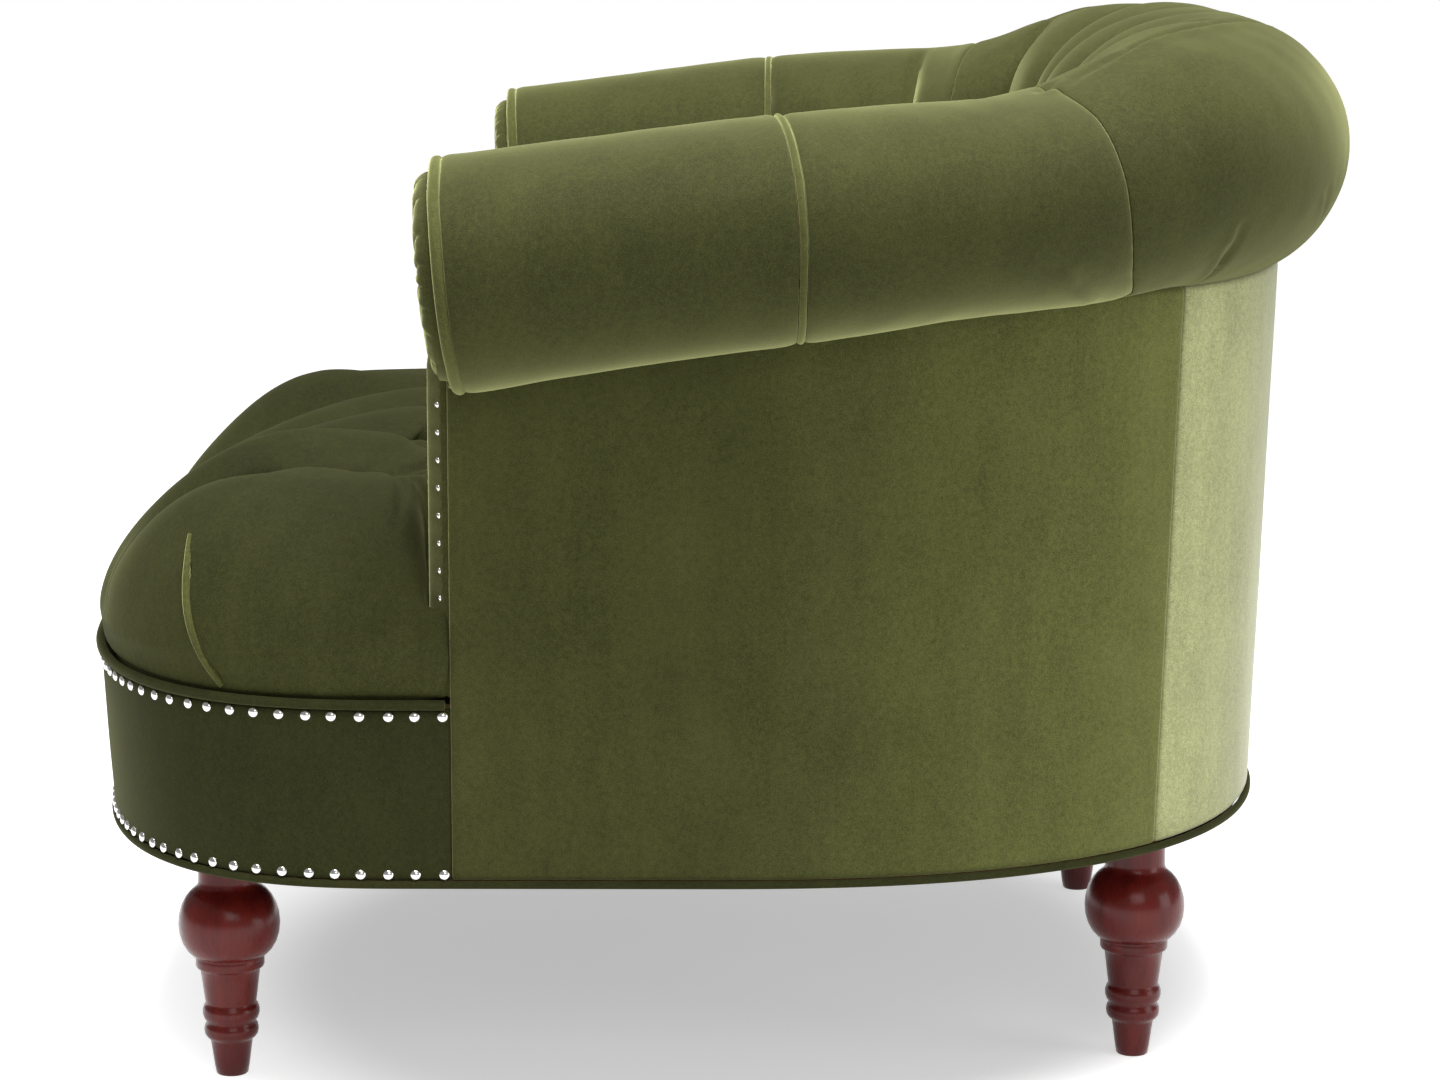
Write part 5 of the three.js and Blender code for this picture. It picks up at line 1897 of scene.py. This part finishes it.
def grain_group() -> None:
    """Makes the group for wood: colour along the grain, roughness and height."""
    nodes, start = new_group("wood_grain", {
        "Dark": (0.02, 0.004, 0.003, 1.0), "Light": (0.1, 0.02, 0.01, 1.0), "Grain Scale": 60.0,
        "Stretch": (1.0, 1.0, 0.06)})
    lines = nodes.add("ShaderNodeVectorMath", {0: start["Vector"], 1: start["Stretch"]}, operation="MULTIPLY")
    grain = nodes.noise(lines.outputs[0], start["Grain Scale"], 6.0, 0.65)
    pores = nodes.noise(lines.outputs[0], nodes.math("MULTIPLY", start["Grain Scale"], 9.0), 2.0, 0.5)
    cloud = nodes.noise(start["Vector"], nodes.math("MULTIPLY", start["Grain Scale"], 0.2), 2.0, 0.5)
    share = nodes.line(grain, 0.75, nodes.math("MULTIPLY", cloud, 0.35))
    share = nodes.ramp(share, 0.32, 0.8)
    colour = nodes.blend(share, start["Dark"], start["Light"])
    pored = nodes.blend(nodes.ramp(pores, 0.62, 0.74), colour, start["Dark"])
    rough, height = nodes.line(pores, 0.1, 0.22), nodes.line(pores, 0.5, grain)
    nodes.add("NodeGroupOutput", {"Color": pored, "Roughness": rough, "Height": height})


def weave_group() -> None:
    """Makes the group for plain woven cloth."""
    nodes, start = new_group("plain_weave", {
        "Dark": (0.2, 0.12, 0.05, 1.0), "Light": (0.5, 0.36, 0.18, 1.0), "Threads": 700.0})
    split = nodes.add("ShaderNodeSeparateXYZ", {0: start["Vector"]}).outputs
    waves = []
    for axis in range(3):
        wave = nodes.math("SINE", nodes.math("MULTIPLY", split[axis], start["Threads"]))
        waves.append(nodes.math("ABSOLUTE", wave))
    knit = nodes.math("MULTIPLY", nodes.math("MAXIMUM", waves[0], waves[1]), nodes.math("ADD", waves[2], 0.4))
    slub = nodes.noise(start["Vector"], 90.0, 3.0, 0.6)
    share = nodes.ramp(nodes.line(slub, 0.6, knit), 0.2, 1.6)
    colour, rough = nodes.blend(share, start["Dark"], start["Light"]), nodes.line(slub, 0.1, 0.82)
    nodes.add("NodeGroupOutput", {"Color": colour, "Roughness": rough, "Height": knit})


def new_material(name: str) -> tuple[bpy.types.Material, Nodes, bpy.types.Node]:
    """Starts a material.

    Args:
        name: Name of the material.

    Returns:
        The material, its nodes and its shader.
    """
    made = bpy.data.materials.new(name)
    made.use_nodes = True
    return made, Nodes(made.node_tree), made.node_tree.nodes["Principled BSDF"]


@dataclass(frozen=True)
class Finish:
    """A finish that one node group colours and roughens."""

    name: str
    group: str
    values: tuple[tuple[str, object], ...]
    sockets: tuple[tuple[str, object], ...]
    bump_strength: float
    bump_distance: float

    def material(self) -> bpy.types.Material:
        """Builds the material.

        Returns:
            The material.
        """
        made, nodes, shader = new_material(self.name)
        place = nodes.add("ShaderNodeTexCoord").outputs["Object"]
        look = nodes.add("ShaderNodeGroup", {"Vector": place, **dict(self.values)},
                         node_tree=bpy.data.node_groups[self.group])
        bumped = nodes.add("ShaderNodeBump", {
            "Height": look.outputs["Height"], "Strength": self.bump_strength, "Distance": self.bump_distance})
        nodes.feed(shader, {
            **dict(self.sockets), "Base Color": look.outputs["Color"],
            "Roughness": look.outputs["Roughness"], "Normal": bumped.outputs[0]})
        return made


def velvet(name: str, tone: float, sheen: float, rough: float = 0.36, painted_light: float = 0.0,
           tint: tuple[float, float, float] = (0.97, 1.0, 0.46), fade: float = 0.0,
           painted_low_light: float = 0.0) -> Finish:
    """Olive velvet as one of its lit or shaded copies, with light and shade painted into its colour.

    Args:
        name: Name of the finish.
        tone: How light it is beside the plain velvet; the tones of the copies are painted light and shade.
        sheen: Strength of the bloom on its pile.
        rough: Spread of the bloom.
        painted_light: Painted light: how much lighter its colour is made towards the back of the chair, and
            painted shade where it is negative.
        tint: Colour of the bloom.
        fade: How far its colour goes towards grey, a painted whitening that stands in for sheen.
        painted_low_light: Painted light: how much lighter its colour is made towards the foot of the seat
            front.

    Returns:
        The finish.
    """
    deep, bright = (0.030, 0.033, 0.0085), (0.078, 0.083, 0.024)
    deep, bright = ([tone * mix(c, max(colour), fade) for c in colour] for colour in (deep, bright))
    values = (("Deep", (*deep, 1.0)), ("Bright", (*bright, 1.0)), ("Pile Scale", 1150.0),
              ("Patch Scale", 7.0), ("Patch Strength", 0.5), ("Lift", painted_light), ("Painted Low Light", painted_low_light))
    sockets = (("Sheen Weight", sheen), ("Sheen Roughness", rough), ("Sheen Tint", (*tint, 1.0)),
               ("Specular IOR Level", 0.12))
    return Finish(name, "velvet_pile", values, sockets, bump_strength=0.3, bump_distance=0.0006)


# Painted shade: the roll, buttons and arm fronts are made darker towards the back of the chair, to hold down
# the rear lamps.
VELVET_ROLL_PAINTED_REAR_SHADE = velvet("olive_velvet_roll_painted_rear_shade", 0.92, 1.0, painted_light=-0.14)
VELVET_BACK = velvet("olive_velvet_back", 0.92, 0.36)
# Painted light: the outside arms are a lighter copy of the velvet, lighter still towards the back, where the
# rear lamp falls.
VELVET_PANEL_PAINTED_REAR_LIGHT = velvet("olive_velvet_panel_painted_rear_light", 1.15, 1.0, painted_light=1.4)
# Painted shade and light: the seat is a darker copy of the velvet, made lighter towards its foot.
VELVET_SEAT_PAINTED_SHADE_AND_LOW_LIGHT = velvet("olive_velvet_seat_painted_shade_and_low_light", 0.48, 0.1, painted_low_light=1.2)
# Painted shade: the border and the low welts are a darker copy of the velvet.
VELVET_BORDER_PAINTED_SHADE = velvet("olive_velvet_border_painted_shade", 0.6, 0.15)
# Painted backlight: the outside back is a far lighter, greyer copy of the velvet, standing in for the rear
# lamp's grazing light.
VELVET_REAR_PAINTED_BACKLIGHT = velvet("olive_velvet_rear_painted_backlight", 7.5, 1.0, 0.3, tint=(1.0, 1.0, 0.85), fade=0.28)
# Painted light: the welts over the arms and the corner tucks are a lighter copy of the velvet.
VELVET_PIPING_PAINTED_LIGHT = velvet("olive_velvet_piping_painted_light", 1.45, 1.0)
MAHOGANY = Finish("turned_mahogany", "wood_grain",
                  (("Dark", (0.055, 0.0045, 0.0035, 1.0)), ("Light", (0.19, 0.017, 0.011, 1.0)),
                   ("Grain Scale", 70.0), ("Stretch", (1.0, 1.0, 0.07))),
                  (("Coat Weight", 0.12), ("Coat Roughness", 0.16), ("Specular IOR Level", 0.22)),
                  0.04, 0.0004)
BEECH = Finish("frame_beech", "wood_grain",
               (("Dark", (0.30, 0.15, 0.06, 1.0)), ("Light", (0.56, 0.33, 0.16, 1.0)),
                ("Grain Scale", 45.0), ("Stretch", (0.1, 1.0, 1.0))),
               (("Specular IOR Level", 0.3),), 0.1, 0.0005)
BACKING = Finish("jute_backing", "plain_weave", (), (("Specular IOR Level", 0.1),), 0.4, 0.0005)
LINING = Finish("black_lining", "plain_weave",
                (("Dark", (0.006, 0.006, 0.006, 1.0)), ("Light", (0.02, 0.02, 0.02, 1.0)),
                 ("Threads", 1500.0)),
                (("Specular IOR Level", 0.1),), 0.3, 0.0003)


def metal(name: str, colour: tuple[float, float, float], low: float, high: float) -> bpy.types.Material:
    """Metal with faint smudges.

    Args:
        name: Name of the material.
        colour: Its colour.
        low: Roughness where it is clean.
        high: Roughness where it is smudged.

    Returns:
        The material.
    """
    made, nodes, shader = new_material(name)
    place = nodes.add("ShaderNodeTexCoord").outputs["Object"]
    smudge = nodes.noise(place, 260.0, 3.0, 0.6)
    tone = nodes.blend(smudge, (*(c * 0.86 for c in colour), 1.0), (*colour, 1.0))
    rough = nodes.add("ShaderNodeMapRange", {"Value": smudge, "To Min": low, "To Max": high}).outputs[0]
    nodes.feed(shader, {"Base Color": tone, "Roughness": rough, "Metallic": 1.0})
    return made


@dataclass
class Studio:
    """White floor, soft lamps and the camera of the photograph."""

    camera_place: tuple[float, float, float] = (2.9576, 0.0188, 0.839)
    tilt: float = math.radians(9.609)
    yaw: float = math.radians(-0.294)
    lens: float = 96.8
    sensor: float = 36.0
    floor_size: float = 40.0
    world_level: float = 0.3
    lamps: tuple[tuple, ...] = (
        ("overhead", (0.5, 0.0, 2.6), (0.0, 0.0, 0.4), (1.8, 1.8), 98.0),
        ("rear_strip", (1.0, 2.6, 0.6), (0.1, 0.2, 0.35), (1.2, 1.1), 12.0),
        ("camera_fill", (3.0, 0.4, 1.6), (0.0, 0.0, 0.4), (1.6, 1.2), 14.0))

    def camera(self) -> None:
        """Places the camera."""
        data = bpy.data.cameras.new("photo_camera")
        data.lens, data.sensor_width = self.lens, self.sensor
        camera = bpy.data.objects.new("photo_camera", data)
        bpy.context.scene.collection.objects.link(camera)
        way = Vector((-math.cos(self.tilt) * math.cos(self.yaw), math.cos(self.tilt) * math.sin(self.yaw),
                      -math.sin(self.tilt)))
        camera.location = self.camera_place
        camera.rotation_mode = "QUATERNION"
        camera.rotation_quaternion = way.to_track_quat("-Z", "Y")
        bpy.context.scene.camera = camera

    @staticmethod
    def lamp(name: str, place: Sequence[float], aim: Sequence[float], size: Pair, power: float) -> None:
        """Adds a soft lamp.

        Args:
            name: Its name.
            place: Where it hangs, in metres.
            aim: Where it points.
            size: Its width and height.
            power: Its power in watts.
        """
        data = bpy.data.lights.new(name, "AREA")
        data.shape, data.size, data.size_y, data.energy = "RECTANGLE", size[0], size[1], power
        lamp = bpy.data.objects.new(name, data)
        bpy.context.scene.collection.objects.link(lamp)
        lamp.location = place
        lamp.rotation_mode = "QUATERNION"
        lamp.rotation_quaternion = (Vector(aim) - Vector(place)).to_track_quat("-Z", "Y")

    def floor(self) -> None:
        """Lays the white floor, which keeps the chair's shadow; to the camera it glows less near the chair, a
        painted shadow under it.
        """
        Sewing.clear()
        bpy.ops.mesh.primitive_plane_add(size=self.floor_size)
        floor = bpy.context.object
        floor.name = "studio_floor"
        made, nodes, shader = new_material("studio_white")
        path = nodes.add("ShaderNodeLightPath").outputs
        seen = nodes.math("MAXIMUM", path["Is Camera Ray"], path["Is Glossy Ray"])
        seen = nodes.math("MAXIMUM", seen, path["Is Transmission Ray"])
        place = nodes.add("ShaderNodeTexCoord").outputs["Object"]
        # Painted shadow: the floor's glow to the camera falls from 0.8 far away to 0.44 under the chair,
        # darkening it there beside the real shadow.
        foot = nodes.add("ShaderNodeMapping", {"Vector": place, "Scale": (2.2, 2.75, 0.0)}).outputs[0]
        away = nodes.add("ShaderNodeVectorMath", {0: foot}, operation="LENGTH").outputs["Value"]
        fade = {"Value": away, "From Min": 0.8, "From Max": 1.2, "To Min": 0.44, "To Max": 0.8}
        glow_with_painted_shadow = nodes.add("ShaderNodeMapRange", fade, interpolation_type="SMOOTHSTEP").outputs[0]
        nodes.feed(shader, {
            "Base Color": (0.8, 0.8, 0.8, 1.0), "Roughness": 0.9, "Specular IOR Level": 0.1,
            "Emission Color": (1.0, 1.0, 1.0, 1.0), "Emission Strength": nodes.math("MULTIPLY", seen, glow_with_painted_shadow)})
        floor.data.materials.append(made)

    def world(self) -> None:
        """Makes the world white to the camera and plain to the chair."""
        world = bpy.data.worlds.new("studio_world")
        bpy.context.scene.world = world
        world.use_nodes = True
        nodes = Nodes(world.node_tree)
        path = nodes.add("ShaderNodeLightPath").outputs
        seen = nodes.math("MAXIMUM", path["Is Camera Ray"], path["Is Transmission Ray"])
        levels = {"Value": seen, "To Min": self.world_level, "To Max": 1.0}
        strength = nodes.add("ShaderNodeMapRange", levels).outputs[0]
        white = {"Color": (1.0, 1.0, 1.0, 1.0), "Strength": strength}
        nodes.feed(world.node_tree.nodes["Background"], white)

    def build(self) -> None:
        """Builds the studio."""
        self.camera()
        self.floor()
        self.world()
        for lamp in self.lamps:
            self.lamp(*lamp)
        bpy.context.scene.view_settings.view_transform = "Standard"


def dress_frame(finishes: dict[Slot, bpy.types.Material]) -> None:
    """Gives every CAD node that stays its finish.

    Args:
        finishes: Material of each slot.
    """
    slots = {part["node"]: part["material_slot"] for part in frame["record"]["subparts"]}
    for name, node in frame["nodes"].items():
        finish = finishes[Slot(slots[name])]
        for place in node.material_slots:
            place.material = finish


def main() -> None:
    """Builds the armchair and its studio."""
    logging.basicConfig(level=logging.INFO, format="%(message)s")
    pile_group()
    grain_group()
    weave_group()
    roll, tufted, panel_painted_rear_light, seat_painted_shade_cloth, border, rear, piping_painted_light = (
        finish.material() for finish in (VELVET_ROLL_PAINTED_REAR_SHADE, VELVET_BACK, VELVET_PANEL_PAINTED_REAR_LIGHT, VELVET_SEAT_PAINTED_SHADE_AND_LOW_LIGHT, VELVET_BORDER_PAINTED_SHADE,
                                         VELVET_REAR_PAINTED_BACKLIGHT, VELVET_PIPING_PAINTED_LIGHT))
    nickel = metal("polished_nickel", (0.83, 0.82, 0.79), 0.12, 0.26)
    finishes = {
        Slot.VELVET: roll, Slot.MAHOGANY: MAHOGANY.material(), Slot.BEECH: BEECH.material(),
        Slot.BACKING: BACKING.material(), Slot.LINING: LINING.material(),
        Slot.STEEL: metal("zinc_steel", (0.55, 0.55, 0.56), 0.3, 0.45),
    }
    dress_frame(finishes)
    Studio().build()
    pads = StuffedPads(roll, tufted)
    pads.build()
    buttons = Buttons(roll)
    buttons.build("inside_buttons", pads.button_places())
    Panels(panel_painted_rear_light, rear, border).build()
    # Painted light and shade: the arm welts take the lighter velvet copy, the low welts the darker one.
    Welts(piping_painted_light, border).build()
    places = ArmFronts(roll).build()
    for side, place in zip(SIDES, places):
        buttons.build(f"{side}_facing_button_velvet", [place], [f"{side}_facing_button"])
    seat = SeatPad(seat_painted_shade_cloth, piping_painted_light)
    seat_piece = seat.build()
    buttons.build("seat_buttons", seat.button_places(seat_piece))
    seat.corner_tucks(seat_piece)
    Nails(nickel).build()
    Legs(finishes[Slot.MAHOGANY]).build()


if __name__ == "__main__":
    main()
